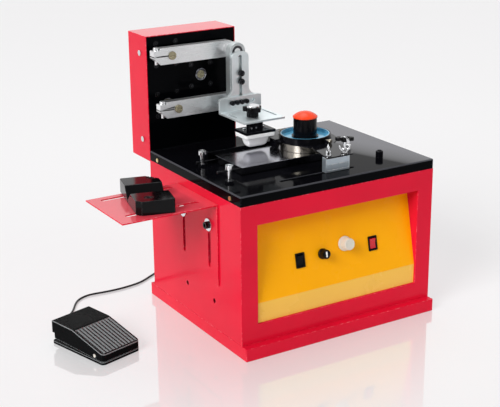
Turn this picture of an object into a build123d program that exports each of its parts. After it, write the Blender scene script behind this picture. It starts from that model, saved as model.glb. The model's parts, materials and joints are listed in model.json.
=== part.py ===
# Bench pad printing machine: red cabinet, black lid, rear column with a parallel arm drive,
# sliding ink cup, side shelf with a V fixture, and a foot pedal on a cord.
# Frame: origin at the middle of the base on the floor, X right along the front, Y back, Z up.
# All lengths are millimetres.
import os
from math import atan2, cos, hypot, pi, radians, sin, sqrt, tan

from build123d import *

os.makedirs("parts", exist_ok=True)

# Driving dimensions of the whole machine
cabinet_w = 320.0
cabinet_d = 257.3
plinth_h = 18.6
plinth_lip = 11.5
shell_top = 216.1
sheet = 1.5
lid_skirt = 14.1
lid_sheet = 2.0
arm_len = 92.0
arm_rise = 74.7
pivot_x = -128.0
pivot_low_z = 296.0
slide_travel = 70.0

# Clearances shared by many pieces
gap = 0.3
run_gap = 0.05
seat_gap = 0.02
quarter = 90

left_x = -cabinet_w / 2
right_x = cabinet_w / 2
front_y = -cabinet_d / 2
back_y = cabinet_d / 2
lid_top = shell_top + lid_skirt
lid_under = lid_top - lid_sheet
pivot_up_z = pivot_low_z + arm_rise


def brick(x, y, z, mode=Mode.ADD):
    """A box between the two planes given for each axis."""
    with Locations(((x[0] + x[1]) / 2, (y[0] + y[1]) / 2, (z[0] + z[1]) / 2)):
        Box(x[1] - x[0], y[1] - y[0], z[1] - z[0], mode=mode)


def rod_x(y, z, radius, start, end, mode=Mode.ADD):
    """A round bar along X."""
    with Locations(Location(((start + end) / 2, y, z), (0, quarter, 0))):
        Cylinder(radius, end - start, mode=mode)


def rod_y(x, z, radius, start, end, mode=Mode.ADD):
    """A round bar along Y."""
    with Locations(Location((x, (start + end) / 2, z), (quarter, 0, 0))):
        Cylinder(radius, end - start, mode=mode)


def rod_z(x, y, radius, start, end, mode=Mode.ADD):
    """A round bar along Z."""
    with Locations((x, y, (start + end) / 2)):
        Cylinder(radius, end - start, mode=mode)


def hex_z(x, y, flats, start, end, mode=Mode.ADD):
    """A hexagonal bar along Z, sized across its flats."""
    with BuildSketch(Plane.XY.offset(start)) as outline:
        with Locations((x, y)):
            RegularPolygon(flats / 2, 6, major_radius=False)
    extrude(outline.sketch, amount=end - start, mode=mode)


def export_group(label, *pieces):
    """Write several finished pieces as the separate solids of one node."""
    group = Compound(label=label, children=[piece.part for piece in pieces])
    export_step(group, f"parts/{label}.step")


# Plinth: a shallow tray that sticks out in front of and behind the cabinet
tray_y = back_y + plinth_lip
with BuildPart() as base_tray:
    brick((left_x, right_x), (-tray_y, tray_y), (0, plinth_h))
    brick(
        (left_x + sheet, right_x - sheet),
        (sheet - tray_y, tray_y - sheet),
        (sheet, plinth_h - sheet),
        mode=Mode.SUBTRACT,
    )
    brick(
        (left_x + sheet, right_x - sheet),
        (front_y + sheet, back_y - sheet),
        (plinth_h - sheet, plinth_h),
        mode=Mode.SUBTRACT,
    )
base_tray.part.label = "base_tray"
export_step(base_tray.part, "parts/base_tray.step")

# Control panel profile: a short upright strip below a sloping face
open_half = 134.0
open_low = 45.6
open_top = 187.0
panel_bend_z = 74.5
panel_lean = 23.6
panel_low_y = front_y + sheet + sheet
panel_bend_y = panel_low_y
panel_top_y = panel_bend_y + panel_lean
slope_len = hypot(panel_lean, open_top - panel_bend_z)
slope_sin = panel_lean / slope_len
slope_cos = (open_top - panel_bend_z) / slope_len
cheek_back_y = panel_top_y + sheet + sheet

# Places shared by the shelf, its bolts and the cabinet wall
shelf_bolt_y = (-48.0, 24.0)
shelf_bolt_z = 169.4
shelf_up = 58.0
wall_slot_gap = 12.0
wall_hole_y = (-54.7, 22.4)
wall_hole_z = 59.0
bolt_r = 3.0
bolt_hole_r = bolt_r + gap
wall_slot_z = (shelf_bolt_z - shelf_up, shelf_bolt_z - wall_slot_gap)

# Places shared by the back wall and what it carries
gland_x = -38.0
gland_z = 30.0
gland_r = 5.0
inlet_x = 70.0
inlet_z = 52.0
inlet_w = 48.0
inlet_h = 27.6
fuse_x = 120.0
fuse_r = 6.0
plate_low_z = 150.0
plate_bolt_x = (-140.0, -33.0)
plate_bolt_z = (160.0, 200.0)

with BuildPart() as cabinet_shell:
    brick((left_x, right_x), (front_y, back_y), (plinth_h, shell_top))
    brick(
        (left_x + sheet, right_x - sheet),
        (front_y + sheet, back_y - sheet),
        (plinth_h, shell_top),
        mode=Mode.SUBTRACT,
    )
    brick(
        (-open_half, open_half),
        (front_y, front_y + sheet),
        (open_low, open_top),
        mode=Mode.SUBTRACT,
    )
    for side in (-1, 1):
        cheek = sorted((side * open_half, side * (open_half + sheet)))
        brick(cheek, (front_y + sheet, cheek_back_y), (open_low - sheet, open_top + sheet))
    ceiling = (-open_half, open_half)
    brick(ceiling, (front_y + sheet, cheek_back_y), (open_top, open_top + sheet))
    brick(ceiling, (front_y + sheet, panel_low_y + sheet + sheet), (open_low - sheet, open_low))
    for y in shelf_bolt_y:
        rod_x(y, shelf_bolt_z, bolt_hole_r, left_x, left_x + sheet, mode=Mode.SUBTRACT)
    with BuildSketch(Plane.YZ.offset(left_x)):
        for y in shelf_bolt_y:
            with Locations((y, (wall_slot_z[0] + wall_slot_z[1]) / 2)):
                SlotOverall(wall_slot_z[1] - wall_slot_z[0], 2 * bolt_hole_r, rotation=quarter)
    extrude(amount=sheet, mode=Mode.SUBTRACT)
    for y in wall_hole_y:
        rod_x(y, wall_hole_z, bolt_hole_r, left_x, left_x + sheet, mode=Mode.SUBTRACT)
    rod_y(gland_x, gland_z, gland_r, back_y - sheet, back_y, mode=Mode.SUBTRACT)
    rod_y(fuse_x, inlet_z, fuse_r, back_y - sheet, back_y, mode=Mode.SUBTRACT)
    brick(
        (inlet_x - inlet_w / 2, inlet_x + inlet_w / 2),
        (back_y - sheet, back_y),
        (inlet_z - inlet_h / 2, inlet_z + inlet_h / 2),
        mode=Mode.SUBTRACT,
    )
    for x in plate_bolt_x:
        for z in plate_bolt_z:
            rod_y(x, z, bolt_hole_r, back_y - sheet, back_y, mode=Mode.SUBTRACT)
cabinet_shell.part.label = "cabinet_shell"
export_step(cabinet_shell.part, "parts/cabinet_shell.step")

# Places of the controls along the sloping face, from its bend
switch_x = (-59.0, 64.0)
switch_up = 44.5
knob_x = (-22.0, 16.0)
knob_up = (46.5, 53.6)
bezel_w = 15.0
bezel_h = 21.0
bezel_rim = 1.0
bezel_proud = 1.6
bezel_body_w = 13.0
bezel_body_h = 19.4
bezel_depth = 15.0
bush_r = 4.0


def face_plane(x, up):
    """Plane on the sloping face: local y runs up the face, local z points out."""
    point = (x, panel_bend_y + up * slope_sin, panel_bend_z + up * slope_cos)
    return Plane(origin=point, x_dir=(1, 0, 0), z_dir=(0, -slope_cos, slope_sin))


with BuildPart() as control_panel:
    with BuildSketch(Plane.YZ.offset(-open_half)):
        with BuildLine():
            Polyline(
                (panel_low_y, open_low),
                (panel_bend_y, panel_bend_z),
                (panel_top_y, open_top),
                (panel_top_y + sheet, open_top),
                (panel_bend_y + sheet, panel_bend_z),
                (panel_low_y + sheet, open_low),
                close=True,
            )
        make_face()
    extrude(amount=2 * open_half)
    for x in switch_x:
        with BuildSketch(face_plane(x, switch_up)):
            Rectangle(bezel_body_w, bezel_body_h)
        extrude(amount=-2 * sheet, mode=Mode.SUBTRACT)
    for x, up in zip(knob_x, knob_up):
        with BuildSketch(face_plane(x, up)):
            Circle(bush_r)
        extrude(amount=-2 * sheet, mode=Mode.SUBTRACT)
control_panel.part.label = "control_panel"
export_step(control_panel.part, "parts/control_panel.step")

# Switch bezels: a rim on the face and a body behind it with the rocker's pocket
pocket_w = 10.4
pocket_h = 16.6
pocket_depth = 9.0
with BuildPart() as switch_bezels:
    for x in switch_x:
        with BuildSketch(face_plane(x, switch_up)):
            RectangleRounded(bezel_w, bezel_h, bezel_rim)
        extrude(amount=bezel_proud)
        with BuildSketch(face_plane(x, switch_up)):
            Rectangle(bezel_body_w, bezel_body_h)
        extrude(amount=-bezel_depth)
        with BuildSketch(face_plane(x, switch_up).offset(bezel_proud)):
            Rectangle(pocket_w, pocket_h)
        extrude(amount=-(bezel_proud + pocket_depth), mode=Mode.SUBTRACT)
switch_bezels.part.label = "switch_bezels"
export_step(switch_bezels.part, "parts/switch_bezels.step")

# Rockers: each rests tilted with its lower end pressed in, on a cross pin just behind the face
rocker_w = pocket_w - 2 * gap
rocker_half = 7.2
rocker_back = 4.6
rocker_crest = 3.4
rocker_dip = 2.2
rocker_tilt = 7.0
rocker_pin_in = 1.5


def rocker_plane(x):
    """Plane of a rocker at rest, through its pin: local z points out of the face."""
    return face_plane(x, switch_up).offset(-rocker_pin_in).rotated((rocker_tilt, 0, 0))


for x, label in zip(switch_x, ("rocker_black", "rocker_red")):
    side_plane = Plane(rocker_plane(x).origin, x_dir=rocker_plane(x).y_dir, z_dir=rocker_plane(x).x_dir)
    with BuildPart() as rocker:
        with BuildSketch(side_plane):
            with BuildLine():
                Polyline(
                    (-rocker_half, -rocker_back),
                    (rocker_half, -rocker_back),
                    (rocker_half, rocker_crest),
                    (0, rocker_dip),
                    (-rocker_half, rocker_crest),
                    close=True,
                )
            make_face()
        extrude(amount=rocker_w / 2, both=True)
    rocker.part.label = label
    export_step(rocker.part, f"parts/{label}.step")

# Potentiometers behind the face, each with a bush through it and a bore for the knob's shaft
pot_r = 8.5
pot_depth = 9.0
pot_shaft_r = 3.0
pot_bush_out = 2.0
with BuildPart() as potentiometers:
    for x, up in zip(knob_x, knob_up):
        with BuildSketch(face_plane(x, up).offset(-sheet)):
            Circle(pot_r)
        extrude(amount=-pot_depth)
        with BuildSketch(face_plane(x, up).offset(-sheet)):
            Circle(bush_r - seat_gap)
        extrude(amount=sheet + pot_bush_out)
        with BuildSketch(face_plane(x, up).offset(pot_bush_out)):
            Circle(pot_shaft_r + run_gap)
        extrude(amount=-(pot_bush_out + sheet + pot_depth / 2), mode=Mode.SUBTRACT)

# Knobs: a shaft in the potentiometer and a body that hides the bush
knob_under = 0.6
shaft_in = 5.0
bush_room = 0.5
black_knob_r = 7.5
black_knob_h = 12.0
black_knob_top_r = 6.4
black_index_w = 1.6
with BuildPart() as knob_black:
    with BuildSketch(face_plane(knob_x[0], knob_up[0]).offset(-shaft_in)):
        Circle(pot_shaft_r)
    extrude(amount=shaft_in + pot_bush_out + 2 * bush_room)
    with BuildSketch(face_plane(knob_x[0], knob_up[0]).offset(knob_under)):
        Circle(black_knob_r)
        Circle(bush_r + bush_room, mode=Mode.SUBTRACT)
    extrude(amount=pot_bush_out + bush_room - knob_under)
    with BuildSketch(face_plane(knob_x[0], knob_up[0]).offset(pot_bush_out + bush_room)):
        Circle(black_knob_r)
    with BuildSketch(face_plane(knob_x[0], knob_up[0]).offset(black_knob_h)):
        Circle(black_knob_top_r)
    loft()
    with BuildSketch(face_plane(knob_x[0], knob_up[0]).offset(black_knob_h)):
        with Locations((0, black_knob_top_r / 2)):
            Rectangle(black_index_w, black_knob_top_r)
    extrude(amount=-black_index_w / 2, mode=Mode.SUBTRACT)
knob_black.part.label = "knob_black"
export_step(knob_black.part, "parts/knob_black.step")

white_knob_r = 10.5
white_knob_h = 15.0
white_skirt_h = 4.0
white_neck_r = 9.6
with BuildPart() as knob_white:
    with BuildSketch(face_plane(knob_x[1], knob_up[1]).offset(-shaft_in)):
        Circle(pot_shaft_r)
    extrude(amount=shaft_in + pot_bush_out + 2 * bush_room)
    with BuildSketch(face_plane(knob_x[1], knob_up[1]).offset(knob_under)):
        Circle(white_knob_r)
        Circle(bush_r + bush_room, mode=Mode.SUBTRACT)
    extrude(amount=pot_bush_out + bush_room - knob_under)
    with BuildSketch(face_plane(knob_x[1], knob_up[1]).offset(pot_bush_out + bush_room)):
        Circle(white_knob_r)
    extrude(amount=white_skirt_h - pot_bush_out)
    with BuildSketch(face_plane(knob_x[1], knob_up[1]).offset(white_skirt_h)):
        Circle(white_neck_r)
    extrude(amount=white_knob_h - white_skirt_h)
    fillet(knob_white.faces().sort_by(face_plane(knob_x[1], knob_up[1]).location.z_axis)[-1].edges(),
           white_knob_r - white_neck_r)
knob_white.part.label = "knob_white"
export_step(knob_white.part, "parts/knob_white.step")

# Carriage slot in the lid and the neck that runs in it
post_x = (-8.3, 31.5)
post_y = (-103.4, -94.0)
post_mid_y = (post_y[0] + post_y[1]) / 2
neck_y_half = 2.6
slot_half = neck_y_half + 2 * gap
slot_end_gap = 1.7
slot_right_x = 43.0
stud_x = (-1.6, 25.6)
carriage_stud_r = 2.0
thumb_r = 3.6
thumb_h = 7.8
thumb_top = 261.0
slot_left_x = post_x[0] - slide_travel - slot_end_gap

# Clamping posts left of the plate, and the small socket near the front right corner
post_a = (-139.3, -66.1)
post_b = (-131.5, 21.6)
clamp_r = 3.0
clamp_head_r = 5.4
clamp_head_h = 6.0
clamp_top = (254.5, 252.0)
ring_r = 6.4
ring_h = 3.4
stub_at = (100.2, -80.5)
skirt_screw_y = (-103.0, 103.0)
skirt_screw_z = 222.0
skirt_screw_r = 1.5

with BuildPart() as lid:
    brick((left_x, right_x), (front_y, back_y), (shell_top, lid_top))
    brick(
        (left_x + sheet, right_x - sheet),
        (front_y + sheet, back_y - sheet),
        (shell_top, lid_under),
        mode=Mode.SUBTRACT,
    )
    with BuildSketch(Plane.XY.offset(lid_under)):
        with BuildLine():
            Polyline(
                (slot_left_x, post_mid_y - slot_half),
                (slot_right_x - slot_half, post_mid_y - slot_half),
                (slot_right_x, post_mid_y),
                (slot_right_x - slot_half, post_mid_y + slot_half),
                (slot_left_x, post_mid_y + slot_half),
                close=True,
            )
        make_face()
    extrude(amount=lid_sheet, mode=Mode.SUBTRACT)
    for x, y in (post_a, post_b):
        rod_z(x, y, clamp_r + seat_gap, lid_under, lid_top, mode=Mode.SUBTRACT)
    for y in skirt_screw_y:
        rod_x(y, skirt_screw_z, skirt_screw_r, left_x, right_x, mode=Mode.SUBTRACT)
lid.part.label = "lid"
export_step(lid.part, "parts/lid.step")

# Printing plate: a thick steel block on a thin black bed, with a black fence behind it
plate_x = (-109.5, 57.0)
plate_y = (-49.0, 29.6)
plate_top = 241.0
bed_h = 1.0
bed_inset = 1.0
fence_x = (-118.0, 57.0)
fence_d = 8.0
fence_top = 245.5
with BuildPart() as plate_bed:
    brick(
        (plate_x[0] + bed_inset, plate_x[1] - bed_inset),
        (plate_y[0] + bed_inset, plate_y[1] - bed_inset),
        (lid_top, lid_top + bed_h),
    )

with BuildPart() as printing_plate:
    brick(plate_x, plate_y, (lid_top + bed_h, plate_top))
printing_plate.part.label = "printing_plate"
export_step(printing_plate.part, "parts/printing_plate.step")

with BuildPart() as plate_fence:
    brick(fence_x, (plate_y[1], plate_y[1] + fence_d), (lid_top, fence_top))
    chamfer(plate_fence.faces().sort_by(Axis.Z)[-1].edges(), sheet / 2)
export_group("plate_fence", plate_fence, plate_bed)

# Clamping posts: a black base ring and a tall cap screw through the lid, with a cross bar
clamp_below = 6.0
clamp_nut_h = 3.2
clamp_nut_flats = 10.0
clamp_socket = 5.0
socket_depth = 3.0
cross_r = 1.3
cross_z = (246.9, 235.4)
cross_a_x = (-158.0, -122.6)
cross_b_left = 6.6
cross_head_r = 2.0
cross_head_len = 3.0
clamp_places = (post_a, post_b)
with BuildPart() as clamp_rings:
    for x, y in clamp_places:
        rod_z(x, y, ring_r, lid_top, lid_top + ring_h)
        rod_z(x, y, clamp_r + seat_gap, lid_top, lid_top + ring_h, mode=Mode.SUBTRACT)

with BuildPart() as clamp_screws:
    for (x, y), top, bar_z in zip(clamp_places, clamp_top, cross_z):
        rod_z(x, y, clamp_r, lid_under - clamp_below, top - clamp_head_h)
        rod_z(x, y, clamp_head_r, top - clamp_head_h, top)
        hex_z(x, y, clamp_socket, top - socket_depth, top, mode=Mode.SUBTRACT)
        rod_x(y, bar_z, cross_r + seat_gap, x - clamp_r, x + clamp_r, mode=Mode.SUBTRACT)

with BuildPart() as clamp_nuts:
    for x, y in clamp_places:
        hex_z(x, y, clamp_nut_flats, lid_under - clamp_nut_h, lid_under)
        rod_z(x, y, clamp_r + seat_gap, lid_under - clamp_nut_h, lid_under, mode=Mode.SUBTRACT)

with BuildPart() as cross_bars:
    rod_x(post_a[1], cross_z[0], cross_r, cross_a_x[0], cross_a_x[1])
    rod_x(post_a[1], cross_z[0], cross_head_r, cross_a_x[0], cross_a_x[0] + cross_head_len)
    rod_x(post_b[1], cross_z[1], cross_r, post_b[0] - cross_b_left, plate_x[0])
    rod_x(post_b[1], cross_z[1], cross_head_r, post_b[0] - cross_b_left - cross_head_len,
          post_b[0] - cross_b_left)
export_group("plate_clamps", clamp_screws, clamp_nuts, cross_bars)

# Black socket stub near the lid's front right corner
stub_r = 5.35
stub_h = 10.2
stub_socket = 6.0
stub_edge = 1.0
with BuildPart() as socket_stub:
    rod_z(stub_at[0], stub_at[1], stub_r, lid_top, lid_top + stub_h)
    chamfer(socket_stub.faces().sort_by(Axis.Z)[-1].edges(), stub_edge)
    hex_z(stub_at[0], stub_at[1], stub_socket, lid_top + stub_h / 2, lid_top + stub_h,
          mode=Mode.SUBTRACT)
export_group("lid_collars", clamp_rings, socket_stub)

# Tabs inside the cabinet that take the lid's brass side screws
tab_low = 20.0
tab_half = 9.0
with BuildPart() as lid_tabs:
    for y in skirt_screw_y:
        for wall in (left_x + sheet, right_x - 2 * sheet):
            brick((wall, wall + sheet), (y - tab_half, y + tab_half),
                  (shell_top - tab_low, lid_under))
        rod_x(y, skirt_screw_z, skirt_screw_r, left_x, right_x, mode=Mode.SUBTRACT)

skirt_head_r = 3.0
skirt_head_h = 1.6
with BuildPart() as skirt_screws:
    for y in skirt_screw_y:
        rod_x(y, skirt_screw_z, skirt_head_r, left_x - skirt_head_h, left_x)
        rod_x(y, skirt_screw_z, skirt_screw_r - seat_gap, left_x, left_x + 3 * sheet)
        rod_x(y, skirt_screw_z, skirt_head_r, right_x, right_x + skirt_head_h)
        rod_x(y, skirt_screw_z, skirt_screw_r - seat_gap, right_x - 3 * sheet, right_x)
skirt_screws.part.label = "skirt_screws"
export_step(skirt_screws.part, "parts/skirt_screws.step")

# Column: a black face plate bolted to the cabinet's back, inside a red housing
plate_t = 3.0
column_x = (-160.0, -12.8)
column_d = 56.85
column_lap = 2.6
column_over = 27.6
column_low = shell_top - column_lap
column_top = pivot_up_z + column_over
face_x = (column_x[0] + sheet, column_x[1] - sheet)
face_back = back_y + plate_t
column_back = back_y + column_d
column_screw_in = 18.35
column_screw_y = back_y + column_screw_in
column_screw_low = 30.5
column_screw_down = 26.3
column_screw_z = (column_low + column_screw_low, column_top - column_screw_down)
column_screw_r = 2.0
rail_low_h = 45.0
rail_top_h = 40.0
mid_z = pivot_low_z + arm_rise / 2

# Gear train: one large drive gear turns both arm gears, and a pinion turns the drive gear
module = 1.5
arm_teeth = 30
drive_teeth = 60
pinion_teeth = 20
arm_gear_r = module * arm_teeth / 2
drive_gear_r = module * drive_teeth / 2
pinion_r = module * pinion_teeth / 2
drive_x = pivot_x + sqrt((arm_gear_r + drive_gear_r) ** 2 - (arm_rise / 2) ** 2)
pinion_z = mid_z - drive_gear_r - pinion_r
shaft_r = 6.0
bush_out_r = 9.0
bush_proud = 1.0
housing_t = 12.0
housing_w = 40.0
housing_screw_half = 16.0
housing_screw_r = 2.0
housing_screw_head_r = 3.8
housing_screw_head_h = 2.0
housing_back = face_back + housing_t
gear_t = 8.0
gear_y = (housing_back + sheet, housing_back + sheet + gear_t)
shaft_places = ((pivot_x, pivot_up_z), (pivot_x, pivot_low_z), (drive_x, mid_z))

with BuildPart() as face_plate:
    brick(face_x, (back_y, face_back), (plate_low_z, column_top - sheet))
    for x, z in shaft_places:
        rod_y(x, z, bush_out_r + seat_gap, back_y, face_back, mode=Mode.SUBTRACT)
        for side in (-1, 1):
            for rise in (-1, 1):
                at_x = x + side * housing_screw_half
                at_z = z + rise * housing_screw_half
                rod_y(at_x, at_z, housing_screw_r, back_y, face_back, mode=Mode.SUBTRACT)
                with Locations(Location((at_x, back_y + housing_screw_head_h / 2, at_z),
                                        (quarter, 0, 0))):
                    Cone(housing_screw_r, housing_screw_head_r, housing_screw_head_h,
                         mode=Mode.SUBTRACT)
    for x in plate_bolt_x:
        for z in plate_bolt_z:
            rod_y(x, z, bolt_hole_r, back_y, face_back, mode=Mode.SUBTRACT)
face_plate.part.label = "face_plate"
export_step(face_plate.part, "parts/face_plate.step")

with BuildPart() as column_housing:
    brick(column_x, (back_y, column_back), (column_low, column_top))
    brick(face_x, (back_y, column_back), (column_low + sheet, column_top - sheet),
          mode=Mode.SUBTRACT)
    brick(face_x, (back_y, face_back), (column_low, column_low + sheet), mode=Mode.SUBTRACT)
    for z in column_screw_z:
        rod_x(column_screw_y, z, column_screw_r, column_x[0], column_x[1], mode=Mode.SUBTRACT)

with BuildPart() as column_back_cover:
    brick(face_x, (column_back - sheet, column_back), (column_low + sheet, column_top - sheet))
export_group("column_housing", column_housing, column_back_cover)

# Rails behind the face plate take the housing's side screws
rail_w = 5.0
with BuildPart() as column_rails:
    for inner in (face_x[0], face_x[1] - rail_w):
        brick((inner, inner + rail_w), (face_back, column_back - sheet),
              (column_low + sheet, column_low + sheet + rail_low_h))
        brick((inner, inner + rail_w), (face_back, column_back - sheet),
              (column_top - sheet - rail_top_h, column_top - sheet))
    for z in column_screw_z:
        rod_x(column_screw_y, z, column_screw_r, column_x[0], column_x[1], mode=Mode.SUBTRACT)

column_screw_head_r = 4.2
column_screw_head_h = 2.2
with BuildPart() as column_screws:
    for z in column_screw_z:
        for wall, out in ((column_x[0], -1), (column_x[1], 1)):
            head = sorted((wall, wall + out * column_screw_head_h))
            shank = sorted((wall, wall - out * (rail_w / 2 + sheet)))
            rod_x(column_screw_y, z, column_screw_head_r, head[0], head[1])
            rod_x(column_screw_y, z, column_screw_r - seat_gap, shank[0], shank[1])

plate_bolt_flats = 10.0
plate_bolt_head = 4.0
with BuildPart() as face_plate_bolts:
    for x in plate_bolt_x:
        for z in plate_bolt_z:
            rod_y(x, z, bolt_r, back_y - sheet - plate_bolt_head, face_back)
            rod_y(x, z, plate_bolt_flats / 2, face_back, face_back + plate_bolt_head)
            rod_y(x, z, plate_bolt_flats / 2, back_y - sheet - plate_bolt_head, back_y - sheet)

with BuildPart() as bearing_housings:
    for x, z in shaft_places:
        half = housing_w / 2
        brick((x - half, x + half), (face_back, housing_back), (z - half, z + half))
        rod_y(x, z, bush_out_r + seat_gap, face_back, housing_back, mode=Mode.SUBTRACT)
        for side in (-1, 1):
            for rise in (-1, 1):
                rod_y(x + side * housing_screw_half, z + rise * housing_screw_half,
                      housing_screw_r, face_back, housing_back, mode=Mode.SUBTRACT)
bearing_housings.part.label = "bearing_housings"
export_step(bearing_housings.part, "parts/bearing_housings.step")

with BuildPart() as housing_screws:
    for x, z in shaft_places:
        for side in (-1, 1):
            for rise in (-1, 1):
                at_x = x + side * housing_screw_half
                at_z = z + rise * housing_screw_half
                rod_y(at_x, at_z, housing_screw_r - seat_gap, back_y + housing_screw_head_h,
                      housing_back)
                with Locations(Location((at_x, back_y + housing_screw_head_h / 2, at_z),
                                        (quarter, 0, 0))):
                    Cone(housing_screw_r - seat_gap, housing_screw_head_r - seat_gap,
                         housing_screw_head_h)
                rod_y(at_x, at_z, housing_screw_r / 2, back_y, back_y + housing_screw_head_h / 2,
                      mode=Mode.SUBTRACT)
export_group("column_screws", column_screws, face_plate_bolts, housing_screws)

with BuildPart() as shaft_bushes:
    for x, z in shaft_places:
        rod_y(x, z, bush_out_r, back_y - bush_proud, housing_back)
        rod_y(x, z, shaft_r + run_gap, back_y - bush_proud, housing_back, mode=Mode.SUBTRACT)
        bush_step = bush_proud / 2
        rod_y(x, z, (bush_out_r + shaft_r) / 2 + bush_step / 2, back_y - bush_proud,
              back_y - bush_proud + bush_step, mode=Mode.SUBTRACT)
shaft_bushes.part.label = "shaft_bushes"
export_step(shaft_bushes.part, "parts/shaft_bushes.step")

# Arm planes in front of the face plate
arm_t = 12.0
arm_h = 24.0
arm_back_gap = 7.0
arm_between = 3.0
arm_up_y = (back_y - arm_back_gap - arm_t, back_y - arm_back_gap)
arm_low_y = (arm_up_y[0] - arm_between - arm_t, arm_up_y[0] - arm_between)
arm_tail = 29.5
arm_slit = 1.6
pin_r = 5.0
clamp_at = 23.0
arm_clamp_r = 2.0
arm_clamp_head_r = 3.8
arm_clamp_head_h = 4.0
arm_notch = 3.0
tail_cut_x = 11.0
tail_cut_z = 10.0
top_cut = 4.0
shaft_out = 2.0
arms = (
    ("upper", arm_up_y, pivot_up_z, arm_up_y[0] - shaft_out),
    ("lower", arm_low_y, pivot_low_z, arm_low_y[0] - shaft_out),
)


def arm_plane(y, z):
    """Upright plane through an arm's pivot: local x runs right and local y up."""
    return Plane(origin=(pivot_x, y, z), x_dir=(1, 0, 0), z_dir=(0, -1, 0))


arm_parts = {}
for name, span, z, shaft_front in arms:
    with BuildPart() as arm:
        with BuildSketch(arm_plane(span[1], z)):
            with BuildLine():
                Polyline(
                    (-arm_tail, tail_cut_z - arm_h / 2),
                    (-arm_tail + tail_cut_x, -arm_h / 2),
                    (arm_len, -arm_h / 2),
                    (arm_len, arm_h / 2),
                    (-arm_tail + top_cut, arm_h / 2),
                    (-arm_tail, arm_h / 2 - top_cut),
                    close=True,
                )
            make_face()
            with Locations((arm_len, 0)):
                Circle(arm_h / 2)
                Circle(pin_r + seat_gap, mode=Mode.SUBTRACT)
            Circle(shaft_r + seat_gap, mode=Mode.SUBTRACT)
            with Locations((-(arm_tail + shaft_r) / 2, 0)):
                Rectangle(arm_tail - shaft_r, arm_slit, mode=Mode.SUBTRACT)
        extrude(amount=span[1] - span[0])
        notch_end = pivot_x - clamp_at + arm_clamp_head_r + gap
        brick((pivot_x - arm_tail, notch_end), span, (z + arm_h / 2 - arm_notch, z + arm_h / 2),
              mode=Mode.SUBTRACT)
        rod_z(pivot_x - clamp_at, (span[0] + span[1]) / 2, arm_clamp_r + seat_gap,
              z - arm_h / 2, z + arm_h / 2, mode=Mode.SUBTRACT)
    arm.part.label = f"{name}_arm"
    export_step(arm.part, f"parts/{name}_arm.step")

    with BuildPart() as arm_shaft:
        rod_y(pivot_x, z, shaft_r, shaft_front, gear_y[1])
        brick((pivot_x - shaft_r, pivot_x + shaft_r), (shaft_front, shaft_front + arm_slit / 2),
              (z - arm_slit / 2, z + arm_slit / 2), mode=Mode.SUBTRACT)

    clamp_seat = z + arm_h / 2 - arm_notch
    with BuildPart() as arm_clamp_screw:
        rod_z(pivot_x - clamp_at, (span[0] + span[1]) / 2, arm_clamp_r, z - arm_h / 2, clamp_seat)
        rod_z(pivot_x - clamp_at, (span[0] + span[1]) / 2, arm_clamp_head_r, clamp_seat,
              clamp_seat + arm_clamp_head_h)
    arm_parts[name] = [arm_shaft, arm_clamp_screw]

# Gears: straight flanks at the pressure angle, thinned for running clearance
pitch = pi * module
pressure = radians(20)
tooth_share = 0.46
tip_share = 0.85
root_share = 1.15
tooth_half = tooth_share * pitch / 2
tip_h = tip_share * module
root_h = root_share * module


def gear_outline(radius, teeth, phase):
    """Points of a gear's outline about its centre, one tooth at the phase angle."""
    points = []
    for tooth in range(teeth):
        middle = phase + 2 * pi * tooth / teeth
        for side, rise in ((-1, -root_h), (-1, tip_h), (1, tip_h), (1, -root_h)):
            half = (tooth_half - rise * tan(pressure)) / radius
            reach = radius + rise
            angle = middle + side * half
            points.append((reach * cos(angle), reach * sin(angle)))
    return points


def meshing_phase(phase, radius, direction, other_radius):
    """Phase of a gear that meshes with one of a given phase, seen in a given direction."""
    return direction + pi - (radius * (phase - direction) + pitch / 2) / other_radius


drive_phase = 0.0
to_upper = atan2(arm_rise / 2, pivot_x - drive_x)
to_lower = atan2(-arm_rise / 2, pivot_x - drive_x)
upper_phase = meshing_phase(drive_phase, drive_gear_r, to_upper, arm_gear_r)
lower_phase = meshing_phase(drive_phase, drive_gear_r, to_lower, arm_gear_r)
pinion_phase = meshing_phase(drive_phase, drive_gear_r, -pi / 2, pinion_r)

for name, z, phase in (("upper", pivot_up_z, upper_phase), ("lower", pivot_low_z, lower_phase)):
    with BuildPart() as arm_gear:
        with BuildSketch(arm_plane(gear_y[1], z)):
            with BuildLine():
                Polyline(*gear_outline(arm_gear_r, arm_teeth, phase), close=True)
            make_face()
            Circle(shaft_r + seat_gap, mode=Mode.SUBTRACT)
        extrude(amount=gear_y[1] - gear_y[0])
    arm_parts[name].append(arm_gear)

drive_plane = Plane(origin=(drive_x, gear_y[1], mid_z), x_dir=(1, 0, 0), z_dir=(0, -1, 0))
web_r = (drive_gear_r + shaft_r) / 2
web_hole_r = (drive_gear_r - shaft_r) / 5
with BuildPart() as drive_gear:
    with BuildSketch(drive_plane):
        with BuildLine():
            Polyline(*gear_outline(drive_gear_r, drive_teeth, drive_phase), close=True)
        make_face()
        Circle(shaft_r + seat_gap, mode=Mode.SUBTRACT)
        with PolarLocations(web_r, 6):
            Circle(web_hole_r, mode=Mode.SUBTRACT)
    extrude(amount=gear_y[1] - gear_y[0])

with BuildPart() as drive_shaft:
    rod_y(drive_x, mid_z, shaft_r, back_y - bush_proud / 2, gear_y[1])
    brick((drive_x - shaft_r, drive_x + shaft_r),
          (back_y - bush_proud / 2, back_y + bush_proud / 2),
          (mid_z - arm_slit / 2, mid_z + arm_slit / 2), mode=Mode.SUBTRACT)
export_group("drive_gear", drive_gear, drive_shaft)

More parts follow.
